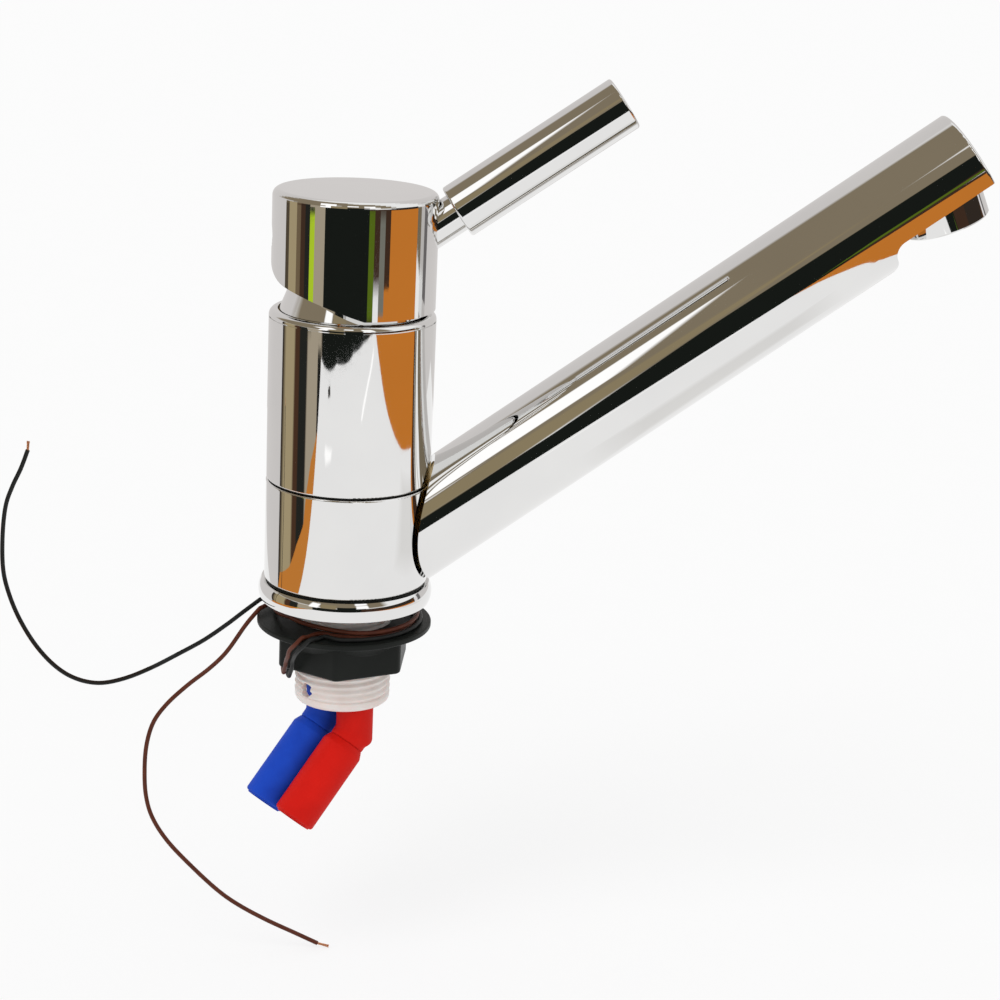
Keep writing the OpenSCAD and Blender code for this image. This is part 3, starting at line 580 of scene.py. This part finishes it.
    @classmethod
    def pick(cls, piece: Object, wanted: Callable[[Vector, Vector], bool]) -> None:
        """Enter edit mode with only some edges selected.

        Args:
            piece: The piece.
            wanted: Says of an edge's two ends, in millimetres, if it is wanted.
        """
        cls.take(piece)
        bpy.ops.object.mode_set(mode="EDIT")
        bpy.ops.mesh.select_mode(type="EDGE")
        bpy.ops.mesh.select_all(action="DESELECT")
        bpy.ops.object.mode_set(mode="OBJECT")
        corners = piece.data.vertices
        for edge in piece.data.edges:
            edge.select = wanted(*(corners[i].co / MM for i in edge.vertices))
        bpy.ops.object.mode_set(mode="EDIT")


@dataclass(frozen=True)
class Shank:
    """The threaded plastic shank under the body.

    Its slot is given as azimuth, width and top, and its hole as azimuth, radius and height.
    """

    radius: float = 14.25
    root: float = 13.5
    bore: float = 12.3
    pitch: float = 2.1
    phase: float = -35.35
    turns: int = 16
    sides: int = 96
    low: float = -32.0
    collar: float = -29.6
    run_out: float = -2.0
    seat: float = 1.0
    foot: float = 4.0
    flange: float = 20.0
    slot: tuple[float, float, float] = (168.0, 4.0, -3.0)
    hole: tuple[float, float, float] = (-142.0, 2.2, -27.0)
    reach: float = 6.0

    def thread(self) -> Object:
        """Run one tooth's outline up the shank and close it at both ends.

        Returns:
            The threaded rod.
        """
        root, crest, pitch = self.root, self.radius, self.pitch
        tooth = (
            (root, 0.0), (root + 0.02, 0.10), (crest - 0.30, 0.36), (crest - 0.08, 0.46),
            (crest, 0.58), (crest - 0.08, 0.70), (crest - 0.30, 0.80), (root + 0.02, 0.96),
            (root, 1.0),
        )
        rod = Bench.draw("shank_threaded", [(r, self.phase + share * pitch) for r, share in tooth])
        Bench.apply(
            rod, "SCREW", axis="Z", angle=2 * math.pi, screw_offset=pitch * MM,
            iterations=self.turns, steps=self.sides, render_steps=self.sides,
            use_merge_vertices=True, merge_threshold=WELD / 2,
        )
        Bench.tidy(rod)
        Bench.trim(rod, (0.0, 0.0, self.collar - 0.2), (0.0, 0.0, -1.0))
        Bench.trim(rod, (0.0, 0.0, self.run_out), (0.0, 0.0, 1.0))
        return rod

    def open_slot(self, rod: Object) -> None:
        """Saw the slot for the leads up from the shank's lower end.

        Args:
            rod: The shank.
        """
        azimuth, width, top = self.slot
        bottom = self.low - PAST
        middle = Vector(polar(self.radius, azimuth, (top + bottom) / 2)) * MM
        Bench.take()
        bpy.ops.mesh.primitive_cube_add(
            size=MM, location=middle, rotation=(0.0, 0.0, math.radians(azimuth)),
            scale=(self.reach, width, top - bottom),
        )
        Bench.carve(rod, bpy.context.object)

    def open_hole(self, rod: Object) -> None:
        """Drill the round hole low in the shank's side.

        Args:
            rod: The shank.
        """
        azimuth, radius, height = self.hole
        drill = Bench.rod(radius, 0.0, self.reach, sides=40)
        Bench.lean(drill, polar(1.0, azimuth, 0.0), polar(self.bore - 2.0, azimuth, height))
        Bench.carve(rod, drill)

    def build(self) -> None:
        """Thread the shank, bore it and open its slot and its hole."""
        rod = self.thread()
        rim = self.radius - 0.15
        blank = Bench.turn("shank_blank", rounded([
            (0.0, self.low), (rim, self.low, 1.3), (rim, self.collar, 0.5),
            (self.root - 0.1, self.collar + 0.35), (self.root - 0.1, self.run_out - 0.2),
            (self.radius, self.run_out + 0.6), (self.radius, self.seat),
            (self.flange, self.seat, 0.3), (self.flange, self.foot, 0.3), (0.0, self.foot),
        ]), closed=False)
        Bench.carve(rod, blank, Step.JOIN)
        Bench.carve(rod, Bench.rod(self.bore, self.low - PAST, self.foot + PAST))
        self.open_slot(rod)
        self.open_hole(rod)
        Bench.tidy(rod, crease=38.0)
        fit(rod, WHITE_PLASTIC, "shank")


@dataclass(frozen=True)
class FlangedNut:
    """The black plastic nut with its wide flange."""

    flange: float = 25.8
    top: float = -6.7
    edge: float = 1.6
    sides: int = 160
    flats: float = 36.0
    corner_azimuth: float = -97.8
    corner_bevel: float = 1.2
    rim_bevel: float = 0.8
    low: float = -20.0
    bore: float = Shank.radius + 0.1

    def hexagon(self, high: float) -> Object:
        """Bevel the hexagon's six corners and its lower rim.

        Args:
            high: The height of its upper end, which is inside the flange.

        Returns:
            The hexagon.
        """
        block = Bench.rod(self.flats / math.sqrt(3.0), self.low, high, sides=6)
        Bench.pick(block, lambda a, b: abs(a.z - b.z) > 1.0)
        bpy.ops.mesh.bevel(offset=self.corner_bevel * MM, segments=5, affect="EDGES")
        Bench.pick(block, lambda a, b: max(a.z, b.z) < self.low + 0.01)
        bpy.ops.mesh.bevel(offset=self.rim_bevel * MM, segments=4, affect="EDGES")
        bpy.ops.object.mode_set(mode="OBJECT")
        block.rotation_euler.z = math.radians(self.corner_azimuth - 90.0)
        bpy.ops.object.transform_apply(rotation=True)
        return block

    def build(self) -> None:
        """Turn the flange, join the hexagon to it, bore both and even their shading."""
        under = self.top - self.edge
        nut = Bench.turn("nut_flanged", rounded([
            (0.0, self.top), (self.flange, self.top, 0.45), (self.flange, under, 0.4),
            (23.9, under - 0.35, 2.0), (20.6, under - 1.75, 3.0), (18.4, under - 4.3, 1.5),
            (17.2, under - 6.5), (0.0, under - 6.5),
        ]), closed=False, sides=self.sides)
        Bench.carve(nut, self.hexagon(under - 0.9), Step.JOIN)
        Bench.carve(nut, Bench.rod(self.bore, self.low - PAST, self.top + PAST))
        Bench.tidy(nut, crease=32.0)
        Bench.apply(nut, "WEIGHTED_NORMAL", keep_sharp=True, weight=90)
        fit(nut, BLACK_PLASTIC, "flanged_nut")


@dataclass(frozen=True)
class Supply:
    """One supply's moulded elbow and its push-in sleeve."""

    name: str
    azimuth: float
    corner: float
    finish: Finish
    offset: float = 6.6
    top: float = -24.0
    radius: float = 5.5
    sides: int = 64
    heel: float = 4.2
    start: float = 4.4
    sleeve: float = 6.45
    end: float = 32.0
    socket: float = 5.0
    socket_floor: float = 15.0
    nipple: float = 4.4
    nipple_end: float = 12.0
    water_way: float = 2.6
    voxel: float = 0.32
    relax: int = 7
    along: Point = (-0.56118, -0.364435, -0.743145)

    def place(self) -> Point:
        """Give the elbow's corner, where its two arms meet."""
        return polar(self.offset, self.azimuth, -self.corner)

    def elbow(self) -> None:
        """Mould the elbow: an upright arm with a rounded heel, and the arm in the sleeve."""
        x, y, z = self.place()
        leg = Bench.turn(f"{self.name}_elbow_moulded", rounded([
            (0.0, self.top), (self.radius, self.top, 0.3), (self.radius, z - self.heel, 1.6),
            (0.0, z - self.heel),
        ]), closed=False, sides=self.sides)
        Bench.lean(leg, (0.0, 0.0, 1.0), (x, y, 0.0))
        cut = Vector(self.place()) + Vector(self.along) * (self.start - 0.15)
        Bench.trim(leg, tuple(cut), self.along)
        shoulder = self.start - 0.02
        arm = Bench.turn("elbow_arm", rounded([
            (0.0, 0.0), (self.radius, 0.0, 0.5), (self.radius, shoulder),
            (self.nipple, shoulder), (self.nipple, self.nipple_end, 0.3),
            (0.0, self.nipple_end),
        ]), closed=False, sides=self.sides)
        Bench.lean(arm, self.along, self.place())
        Bench.carve(leg, arm, Step.JOIN)
        Bench.apply(leg, "REMESH", mode="VOXEL", voxel_size=self.voxel * MM)
        Bench.apply(leg, "SMOOTH", factor=0.5, iterations=self.relax)
        Bench.tidy(leg, crease=50.0)
        fit(leg, self.finish, f"{self.name}_elbow")

    def push_sleeve(self) -> None:
        """Turn the sleeve, with its sloped shoulder, rounded end and release ring."""
        seat, stop, ring = self.nipple + 0.05, self.nipple_end + 0.2, self.end - 0.35
        sleeve = Bench.turn(f"{self.name}_sleeve_turned", rounded([
            (seat, self.start), (self.sleeve - 0.95, self.start, 0.12),
            (self.sleeve, self.start + 2.1, 1.6), (self.sleeve, ring, 0.85),
            (self.socket + 0.5, ring), (self.socket + 0.5, self.end, 0.15),
            (self.socket, self.end, 0.15), (self.socket, self.socket_floor),
            (self.water_way, self.socket_floor), (self.water_way, stop), (seat, stop),
        ]))
        Bench.lean(sleeve, self.along, self.place())
        fit(sleeve, self.finish, f"{self.name}_sleeve")

    def build(self) -> None:
        """Mould the elbow and turn its sleeve."""
        self.elbow()
        self.push_sleeve()


@dataclass(frozen=True)
class Lead:
    """A thin insulated lead: the held stretch and the free one, with its bare end."""

    name: str
    held: tuple[Point, ...]
    free: tuple[Point, ...]
    bare: tuple[Point, ...]
    finish: Finish
    thick: float = 1.3
    steps: int = 8
    wires: int = 7
    wire_thick: float = 0.25
    wire_steps: int = 12
    wire_reach: float = 0.255
    flare: float = 0.11
    twist: float = 150.0
    uneven: float = 0.02

    def smooth(self, points: Sequence[Point]) -> list[Vector]:
        """Run a smooth curve through points, as the part's source does.

        Args:
            points: The route's points.

        Returns:
            The points of the curve.
        """
        p = [Vector(q) for q in points]
        last = len(p) - 1
        out = []
        for i in range(last):
            a, b, c, d = p[max(i - 1, 0)], p[i], p[i + 1], p[min(i + 2, last)]
            for k in range(self.steps):
                t = k / self.steps
                out.append(0.5 * (
                    2 * b + (c - a) * t + (2 * a - 5 * b + 4 * c - d) * t * t
                    + (3 * b - a - 3 * c + d) * t ** 3
                ))
        return out + [p[last]]

    @staticmethod
    def tube(name: str, routes: Sequence[Sequence[Vector]], thick: float, facets: int) -> Object:
        """Make a round curve along each route.

        Args:
            name: The piece's name.
            routes: The points of each open spline, in millimetres.
            thick: The diameter in millimetres.
            facets: The fineness of the round section.

        Returns:
            The curve.
        """
        curve = bpy.data.curves.new(name, "CURVE")
        curve.dimensions = "3D"
        curve.bevel_depth = thick / 2 * MM
        curve.bevel_resolution = facets
        curve.use_fill_caps = True
        for route in routes:
            spline = curve.splines.new("POLY")
            spline.points.add(len(route) - 1)
            for place, point in zip(spline.points, route):
                place.co = (*(point * MM), 1.0)
            spline.use_smooth = True
        piece = bpy.data.objects.new(name, curve)
        bpy.context.scene.collection.objects.link(piece)
        return piece

    def wire(self, number: int) -> list[Vector]:
        """Twist one fine wire round the last one, spread a little at its end.

        Args:
            number: The wire's number, from 0.

        Returns:
            Its points in millimetres.
        """
        start, end = (Vector(p) for p in self.bare)
        ahead = (end - start).normalized()
        side = ahead.cross(Vector((0.0, 1.0, 0.0))).normalized()
        other = ahead.cross(side)
        around = self.wires - 1
        route = []
        for k in range(self.wire_steps + 1):
            t = k / self.wire_steps
            reach = 0.0 if number == around else self.wire_reach + self.flare * t ** 3
            turn = math.radians(360.0 / around * number + self.twist * t)
            place = start.lerp(end, t * (1.0 - self.uneven * (number % 3)))
            place += (side * math.cos(turn) + other * math.sin(turn)) * reach
            route.append(place)
        return route

    def strands(self) -> Object:
        """Lay the bare end's fine wires.

        Returns:
            The wires as one mesh.
        """
        routes = [self.wire(number) for number in range(self.wires)]
        Bench.take(self.tube(f"{self.name}_tip_strands", routes, self.wire_thick, 2))
        bpy.ops.object.convert(target="MESH")
        return bpy.context.object

    def length(self) -> float:
        """Measure the free stretch in metres, up to its bare end."""
        line = self.smooth(self.free)
        return sum((b - a).length for a, b in zip(line, line[1:])) * MM

    def build(self) -> None:
        """Lay the held stretch, the bare end and the free stretch."""
        wrap = self.tube(f"{self.name}_wrap_laid", [self.smooth(self.held)], self.thick, 4)
        fit(wrap, self.finish, f"{self.name}_wrap")
        tip = self.strands()
        fit(tip, BARE_COPPER, f"{self.name}_tip")
        free = self.tube(f"{self.name}_lead_free", [self.smooth(self.free)], self.thick, 4)
        fit(free, self.finish, f"{self.name}_lead")


@dataclass(frozen=True)
class Wiring:
    """The two leads, folded round the nut's edge and wound round the shank."""

    rim: float = FlangedNut.flange
    shank: float = Shank.radius
    corner: float = 20.785
    lay: float = -6.0
    edge: float = FlangedNut.top
    low: float = FlangedNut.low
    slot: float = Shank.slot[0]
    fold: float = -127.8

    def brown(self) -> Lead:
        """Route the brown lead.

        Returns:
            The lead.
        """
        rim, shank, corner, z, edge, low, slot, fold = astuple(self)
        held = (
            polar(shank - 2.85, slot, low - 0.9), polar(shank + 0.8, slot, low - 0.85),
            polar(shank + 3.3, slot + 12, low - 0.85), polar(corner - 2.5, slot + 24, low - 0.95),
            polar(corner - 0.7, fold + 336, low - 1), polar(corner, fold + 340.5, low + 0.2),
            polar(corner + 0.8, fold - 15.2, low + 2.3), polar(corner + 1.8, fold - 11, low + 4.6),
            polar(rim - 1.7, fold - 5.7, low + 6.8), polar(rim, fold - 0.7, low + 9.8),
            polar(rim + 0.8, fold + 5.5, edge - 0.6), polar(rim - 0.4, fold + 8, edge + 0.95),
            polar(rim - 2.5, fold + 9.3, z), polar(rim - 5.9, fold + 12.3, z),
            polar(rim - 7.4, fold + 18, z), polar(rim - 6.2, fold + 30, z),
            *(polar(rim - 4.8, fold + 54 + 24 * k, z) for k in range(10)),
            polar(rim - 4.8, fold + 292, z + 0.2), polar(rim - 6, fold + 313, z + 0.9),
            polar(shank + 3.5, fold + 334, z + 1.5), polar(shank + 3.3, fold + 350, z + 1.5),
            polar(shank + 3.4, fold + 365, z + 1.5), polar(shank + 4, fold + 379, z + 1.5),
            polar(shank + 5.3, fold + 394, z + 1.5), polar(shank + 6.9, fold + 410, z + 1.5),
            *(polar(rim - 4.1, fold + 428 + 24 * k, z + 1.5) for k in range(7)),
            (-5.5, 20.5, -4.6), (-12, 16.5, -4.6), (-19, 9.5, -4.7), (-25, 2, -5.2),
        )
        free = (
            (-25, 2, -5.2), (-29, -0.5, -9.5), (-34.5, -2, -17.5), (-39.5, -3, -22.5),
            (-46, -3, -28), (-52, -3, -34), (-56, -3, -40), (-58, -3, -47.5), (-58.5, -3, -56),
            (-58, -3, -64), (-56, -3, -71), (-51.5, -3, -78.5), (-44.5, -3, -86.5),
            (-36.5, -3, -94.5), (-30, -3, -99.5), (-21.5, -3, -104.5), (-12.5, -3, -109),
            (-5.5, -3, -112.5),
        )
        bare = ((-5.5, -3, -112.5), (-2, -3, -113.5))
        return Lead("brown", held, free, bare, BROWN_INSULATION)

    def black(self) -> Lead:
        """Route the black lead.

        Returns:
            The lead.
        """
        rim, shank, corner, z, edge, low, slot, fold = astuple(self)
        held = (
            polar(shank - 2.85, slot + 1, low - 2.9), polar(shank + 0.8, slot + 1, low - 2.5),
            polar(shank + 1.4, slot + 14, low - 2.45), polar(shank + 3.1, slot + 30, low - 2.4),
            polar(corner - 1.4, fold - 18.5, low - 1.7),
            polar(corner - 0.5, fold - 13.7, low - 0.4),
            polar(corner + 0.6, fold - 7.8, low + 2.6), polar(corner + 2, fold - 3.7, low + 5.7),
            polar(rim - 0.2, fold + 4.2, low + 9.4), polar(rim + 0.85, fold + 10.6, edge - 0.8),
            polar(rim - 0.4, fold + 14.3, edge + 0.95), polar(rim - 2.6, fold + 17.5, z),
            polar(rim - 5, fold + 21.5, z),
            *(polar(rim - 3.1, fold + 34 + 22 * k, z) for k in range(9)),
            (-8, 21.8, -5.4), (-17, 16, -4.6), (-25, 6, -3.8),
        )
        free = (
            (-25, 6, -3.8), (-30, 4, -7.2), (-35, 3, -11), (-41.5, 2, -15.5), (-49, 2, -20),
            (-57, 2, -24.5), (-65, 2, -28), (-72.5, 2, -29.5), (-79.5, 2, -28), (-85.5, 2, -24),
            (-91, 2, -17.5), (-95.5, 2, -9.5), (-98.5, 2, -1.5), (-100, 2, 6), (-100, 2, 16),
            (-99, 2, 25), (-97, 2, 31), (-94.5, 2, 36.5), (-92.5, 2, 42),
        )
        bare = ((-92.5, 2, 42), (-92.3, 2, 44.7))
        return Lead("black", held, free, bare, BLACK_INSULATION)

    def build(self) -> None:
        """Lay both leads."""
        self.brown().build()
        self.black().build()


def hang(card: Object, colour: RGB) -> None:
    """Paint a card and let only mirrors see it.

    Args:
        card: The card, whose edge value fades it out where it is 0.
        colour: Its colour as the metal mirrors it.
    """
    tree = Tree(bpy.data.materials.new(f"{card.name}_paint"))
    glow = tree.add("Emission", {"Color": (*colour, 1.0)}).outputs["Emission"]
    clear = tree.add("BsdfTransparent").outputs["BSDF"]
    tree.fade(tree.add("Attribute", attribute_name=EDGE).outputs["Fac"], clear, glow)
    tree.owner.cycles.emission_sampling = "NONE"
    card.data.materials.append(tree.owner)
    card.visible_camera = card.visible_diffuse = card.visible_transmission = False
    card.visible_volume_scatter = card.visible_shadow = False


@dataclass(frozen=True)
class Card:
    """A plain studio card that only the polished metal mirrors.

    Directions are seen from the tap, in degrees: azimuth 0 is towards the camera and 90 is to
    the right. The dome's middle lies over the frame's origin.
    """

    name: str
    azimuth: tuple[float, float]
    height: tuple[float, float]
    colour: RGB
    distance: float = 3.0
    soft: tuple[float, float] = (0.15, 0.15)
    cells: int = 24
    middle: float = 0.07

    def place(self, azimuth: float, height: float) -> Vector:
        """Give the point of the card in a direction.

        Args:
            azimuth: The direction in degrees.
            height: Its height in degrees.

        Returns:
            The point in metres.
        """
        a, e = math.radians(azimuth), math.radians(height)
        flat = math.cos(e)
        reach = Vector((math.sin(a) * flat, -math.cos(a) * flat, math.sin(e)))
        return reach * self.distance + Vector((0.0, 0.0, self.middle))

    def share(self, u: float, span: tuple[float, float], soft: float) -> float:
        """Place a grid line so that the outer cells are as wide as the soft edge.

        Args:
            u: The line's place on the plain grid, from 0 to 1.
            span: The card's two edges, in degrees.
            soft: The soft edge's width, in degrees.

        Returns:
            The line's place in degrees.
        """
        low, high = span
        cell = 1 / self.cells
        if u < cell / 2:
            return low
        if u > 1 - cell / 2:
            return high
        t = (u - cell) / (1 - 2 * cell)
        return low + soft + t * (high - low - 2 * soft)

    def build(self) -> None:
        """Bend a grid to the card's part of the dome, fade its rim out and hang it."""
        Bench.take()
        bpy.ops.mesh.primitive_grid_add(
            x_subdivisions=self.cells, y_subdivisions=self.cells, size=2.0
        )
        card = bpy.context.object
        card.name = card.data.name = self.name
        mask = card.data.attributes.new(EDGE, "FLOAT", "POINT")
        for item, vertex in zip(mask.data, card.data.vertices):
            u, v = (vertex.co.x + 1) / 2, (vertex.co.y + 1) / 2
            on_rim = min(u, 1 - u, v, 1 - v) < 0.5 / self.cells
            item.value = 0.0 if on_rim else 1.0
            vertex.co = self.place(
                self.share(u, self.azimuth, self.soft[0]),
                self.share(v, self.height, self.soft[1]),
            )
        hang(card, self.colour)


@dataclass(frozen=True)
class Board:
    """A flat board near the tap, seen only in the polished metal."""

    name: str
    colour: RGB
    outline: tuple[Corner, ...]
    height: float = -0.020
    soft: float = 0.0

    def build(self) -> None:
        """Cut the board out and lay it at its height, or at its corners' own heights."""
        corners = [Vector(c if len(c) > 2 else (*c, self.height)) for c in self.outline]
        board = Bench.trace(self.name, corners, closed=True)
        bpy.ops.mesh.edge_face_add()
        if self.soft > 0.0:
            bpy.ops.mesh.inset(thickness=self.soft)
        bpy.ops.object.mode_set(mode="OBJECT")
        sides = Counter(side for face in board.data.polygons for side in face.edge_keys)
        rim = {corner for side, faces in sides.items() if faces == 1 for corner in side}
        mask = board.data.attributes.new(EDGE, "FLOAT", "POINT")
        for i, item in enumerate(mask.data):
            item.value = 0.0 if self.soft > 0.0 and i in rim else 1.0
        hang(board, self.colour)


WHITE: RGB = (0.97, 0.965, 0.965)
GLARE: RGB = (1.28, 1.27, 1.27)
ORANGE: RGB = (0.62, 0.205, 0.030)
NIGHT: RGB = (0.010, 0.012, 0.010)
SOOT: RGB = (0.020, 0.021, 0.018)
INK: RGB = (0.015, 0.015, 0.014)
WALNUT: RGB = (0.055, 0.029, 0.018)


@dataclass(frozen=True)
class Studio:
    """Camera, floor, soft light and the cards and boards that the chrome mirrors."""

    stand: Point = (-0.0216, -0.6600, 0.22455)
    heading: float = 5.75
    dip: float = 16.32
    tilt: float = 2.73
    lens: float = 84.38
    sensor: float = 36.0
    clip: tuple[float, float] = (0.01, 50.0)
    floor_height: float = -0.1142
    floor_size: float = 24.0
    floor_glow: float = 0.70
    paper_grain: float = 40.0
    paper: tuple[RGB, RGB] = ((0.94, 0.94, 0.94), (0.96, 0.96, 0.96))
    fill: float = 0.72
    lamp_from: Point = (-0.45, -0.6, 1.0)
    lamp_angle: float = 34.0
    lamp_strength: float = 0.9

    def camera(self) -> None:
        """Set the camera up where the photograph was taken from."""
        a, e, r = (math.radians(v) for v in (self.heading, self.dip, self.tilt))
        ahead = Vector((math.sin(a) * math.cos(e), math.cos(a) * math.cos(e), -math.sin(e)))
        right = Vector((math.cos(a), -math.sin(a), 0.0))
        above = right.cross(ahead)
        x = math.cos(r) * right + math.sin(r) * above
        y = math.cos(r) * above - math.sin(r) * right
        data = bpy.data.cameras.new("camera")
        data.lens, data.sensor_width = self.lens, self.sensor
        data.clip_start, data.clip_end = self.clip
        camera = bpy.data.objects.new("camera", data)
        turn = Matrix((x, y, -ahead)).transposed().to_4x4()
        camera.matrix_world = Matrix.Translation(self.stand) @ turn
        bpy.context.scene.collection.objects.link(camera)
        bpy.context.scene.camera = camera

    def floor(self) -> None:
        """Lay the pale floor, which keeps the shadow but stays out of the mirrors."""
        Bench.take()
        bpy.ops.mesh.primitive_plane_add(size=self.floor_size, location=(0, 0, self.floor_height))
        floor = bpy.context.object
        floor.name = floor.data.name = "studio_floor"
        tree = Tree(bpy.data.materials.new("floor_paper"))
        grain = tree.noise(tree.place(), self.paper_grain, detail=2.0)
        tone = tree.blend(grain, *self.paper)
        paper = tree.add("BsdfDiffuse", {"Color": tone}).outputs["BSDF"]
        share = tree.work("MULTIPLY", tree.seen(), self.floor_glow)
        tree.fade(share, paper, tree.add("Emission").outputs["Emission"])
        floor.data.materials.append(tree.owner)
        floor.visible_glossy = False

    def world(self) -> None:
        """Make the white surround: white to the eye and the mirrors, softer as light."""
        world = bpy.data.worlds.new("white_surround")
        bpy.context.scene.world = world
        tree = Tree(world)
        light, white = (
            tree.add("Background", {"Color": (1.0, 1.0, 1.0, 1.0), "Strength": strength})
            for strength in (self.fill, 1.0)
        )
        tree.fade(tree.seen(), light.outputs["Background"], white.outputs["Background"])

    def lamp(self) -> None:
        """Hang the wide soft lamp, which stays out of the mirrors."""
        data = bpy.data.lights.new("soft_lamp", "SUN")
        data.angle = math.radians(self.lamp_angle)
        data.energy = self.lamp_strength
        lamp = bpy.data.objects.new("soft_lamp", data)
        lamp.location = self.lamp_from
        lamp.rotation_euler = Vector(self.lamp_from).to_track_quat("Z", "Y").to_euler()
        lamp.visible_glossy = False
        bpy.context.scene.collection.objects.link(lamp)

    def cards(self) -> None:
        """Hang the cards: a dark room in front, posts to the left and pale walls behind."""
        low = -25.0
        for card in (
            Card("pale_wall", (106, 254), (-60, 62), (0.70, 0.675, 0.665), 3.9, (4, 8)),
            Card("ceiling", (-137, 60), (12, 89), (0.25, 0.205, 0.14), 3.8, (10, 6)),
            Card("backing", (-112, 103), (low, 12), (0.035, 0.026, 0.020), 3.6, (1, 1)),
            Card("tan_wall", (-109, -80), (low, 15), (0.42, 0.34, 0.20), 3.4, (6, 0.5)),
            Card("brown_post", (-87.5, -74), (low, 15), (0.075, 0.036, 0.020), 3.3, (3, 0.5)),
            Card("black_post", (-78.5, -64.5), (low, 14), SOOT, 3.2, (2, 0.5)),
            Card("grey_post", (-65.5, -42.5), (low, 13), (0.42, 0.36, 0.27), 3.1, (2, 0.5)),
            Card("dark_slip", (-74, -58), (-12.2, -8), SOOT, 3, (1.5, 0.5)),
            Card("lime_strip", (-66.4, -59.6), (-11.5, -8.5), (0.47, 0.66, 0.03), 2.9),
            Card("black_line", (-48.8, -43.8), (low, -12.4), INK, 2.9, (0.5, 0.3)),
            Card("dark_room", (-43, 15), (low, 10), NIGHT, 3, (0.8, 0.6)),
            Card("dark_room_high", (-12, 27), (low, 21), NIGHT, 3.05, (1, 1)),
            Card("olive_stripe", (17.4, 24.6), (-11.7, -8.3), (0.10, 0.16, 0.012), 2.88),
            Card("brown_stripe", (19.5, 49), (low, 12), WALNUT, 2.96, (1, 0.5)),
            Card("white_slip", (24.8, 32.2), (-12.8, -10.4), WHITE, 2.9, (0.5, 0.6)),
            Card("grey_slip", (32.6, 40), (-12.8, -8.3), (0.20, 0.20, 0.17), 2.9, (0.5, 0.5)),
            Card("warm_board", (48.6, 95), (low, -7.6), ORANGE, 2.9, (0.6, 0.4)),
            Card("dark_line", (94.6, 101), (low, 9), (0.10, 0.045, 0.02), 2.85, (0.8, 0.4)),
            Card("white_line", (101, 107.2), (low, 9), (0.86, 0.82, 0.82), 2.85, (0.8, 0.4)),
            Card("grey_fold", (107, 115.5), (low, 12), (0.16, 0.15, 0.15), 2.85, (2, 1)),
            Card("tan_card", (-35, -12), (9, 33), (0.30, 0.24, 0.14), 3.1, (2, 3)),
            Card("left_lamp", (-17, 1), (38, 56), GLARE, 2.8, (2.5, 2.5)),
            Card("right_lamp", (12, 32), (30, 55), GLARE, 2.8, (2.5, 2.5)),
            Card("left_window", (-50, -35.5), (8, 33), GLARE, 2.82, (2, 3)),
            Card("right_window", (13, 31.5), (12, 31), GLARE, 2.82, (2, 3)),
        ):
            card.build()

    def boards(self) -> None:
        """Lay the paper that the tap lies over, the warm table beside it and the near lamp."""
        under = -0.0205
        over = -0.0195
        for board in (
            Board("paper", WHITE, (
                (-0.08, -0.034), (-0.30, -0.325), (-0.264, -0.334), (-0.205, -0.363),
                (-0.156, -0.404), (-0.033, -0.44), (0.005, -0.457), (0.113, -0.465),
                (0.245, -0.452), (0.254, -0.35), (0.258, -0.231), (0.262, -0.175), (0.264, -0.13),
                (0.266, -0.085), (0.273, -0.04), (0.277, 0.003), (0.289, 0.035), (0.289, 0.3),
                (-0.08, 0.3),
            )),
            Board("warm_table", ORANGE, (
                (0.15, -0.36), (0.24, -0.45), (0.308, -0.44), (0.40, -0.44), (0.55, -0.49),
                (1.6, -0.62), (1.6, 0.26), (0.482, 0.068), (0.289, 0.035), (0.15, 0.0),
            ), under),
            Board("warm_edge", (0.60, 0.22, 0.04), (
                (-0.22, -0.219), (-0.22, -0.212), (-0.211, -0.157), (-0.188, -0.117),
                (-0.175, -0.103), (-0.156, -0.087), (-0.1435, -0.052), (-0.123, -0.021),
                (-0.112, 0.015), (-0.09, 0.016), (-0.06, 0.016), (-0.06, -0.034),
                (-0.20, -0.22),
            ), under),
            Board("glare_streak", GLARE, (
                (0.222, -0.434), (0.205, -0.402), (0.14, -0.379), (0.09, -0.347),
                (0.070, -0.322), (0.080, -0.316), (0.098, -0.331), (0.135, -0.358),
                (0.19, -0.384), (0.216, -0.415),
            ), over, 0.004),
            Board("glare_spot", GLARE, (
                (-0.163, -0.242), (-0.158, -0.224), (-0.138, -0.213), (-0.109, -0.239),
                (-0.113, -0.262),
            ), over, 0.010),
            Board("dark_tag", (0.05, 0.045, 0.04), (
                (-0.204, -0.325), (-0.19, -0.339), (-0.176, -0.325), (-0.19, -0.311),
            ), over),
            Board("near_lamp", GLARE, (
                (-0.165, -0.15, 0.53), (-0.165, -0.37, 0.40), (-0.31, -0.37, 0.33),
                (-0.33, -0.12, 0.42),
            ), 0.0, 0.020),
            # A painted shadow: a greyer patch on the mirrored paper where the tap's own shadow
            # would fall under the spout
            Board("paper_painted_shadow", (0.84, 0.83, 0.82), (
                (0.11, -0.06), (0.24, -0.08), (0.24, 0.05), (0.11, 0.05),
            ), over, 0.028),
        ):
            board.build()

    def build(self) -> None:
        """Set up the floor, the light, the cards and the boards."""
        self.floor()
        self.world()
        self.lamp()
        self.cards()
        self.boards()
        bpy.context.scene.view_settings.view_transform = "Standard"


def main() -> None:
    """Build the studio and every sub-assembly in order."""
    logging.basicConfig(level=logging.INFO, format="%(name)s: %(message)s")
    studio = Studio()
    studio.camera()
    Wiring().build()
    studio.build()
    dress_kept_nodes()
    Shank().build()
    FlangedNut().build()
    Supply("hot", -55.0, 40.9, RED_PLASTIC).build()
    Supply("cold", 140.0, 39.4, BLUE_PLASTIC).build()


if __name__ == "__main__":
    main()
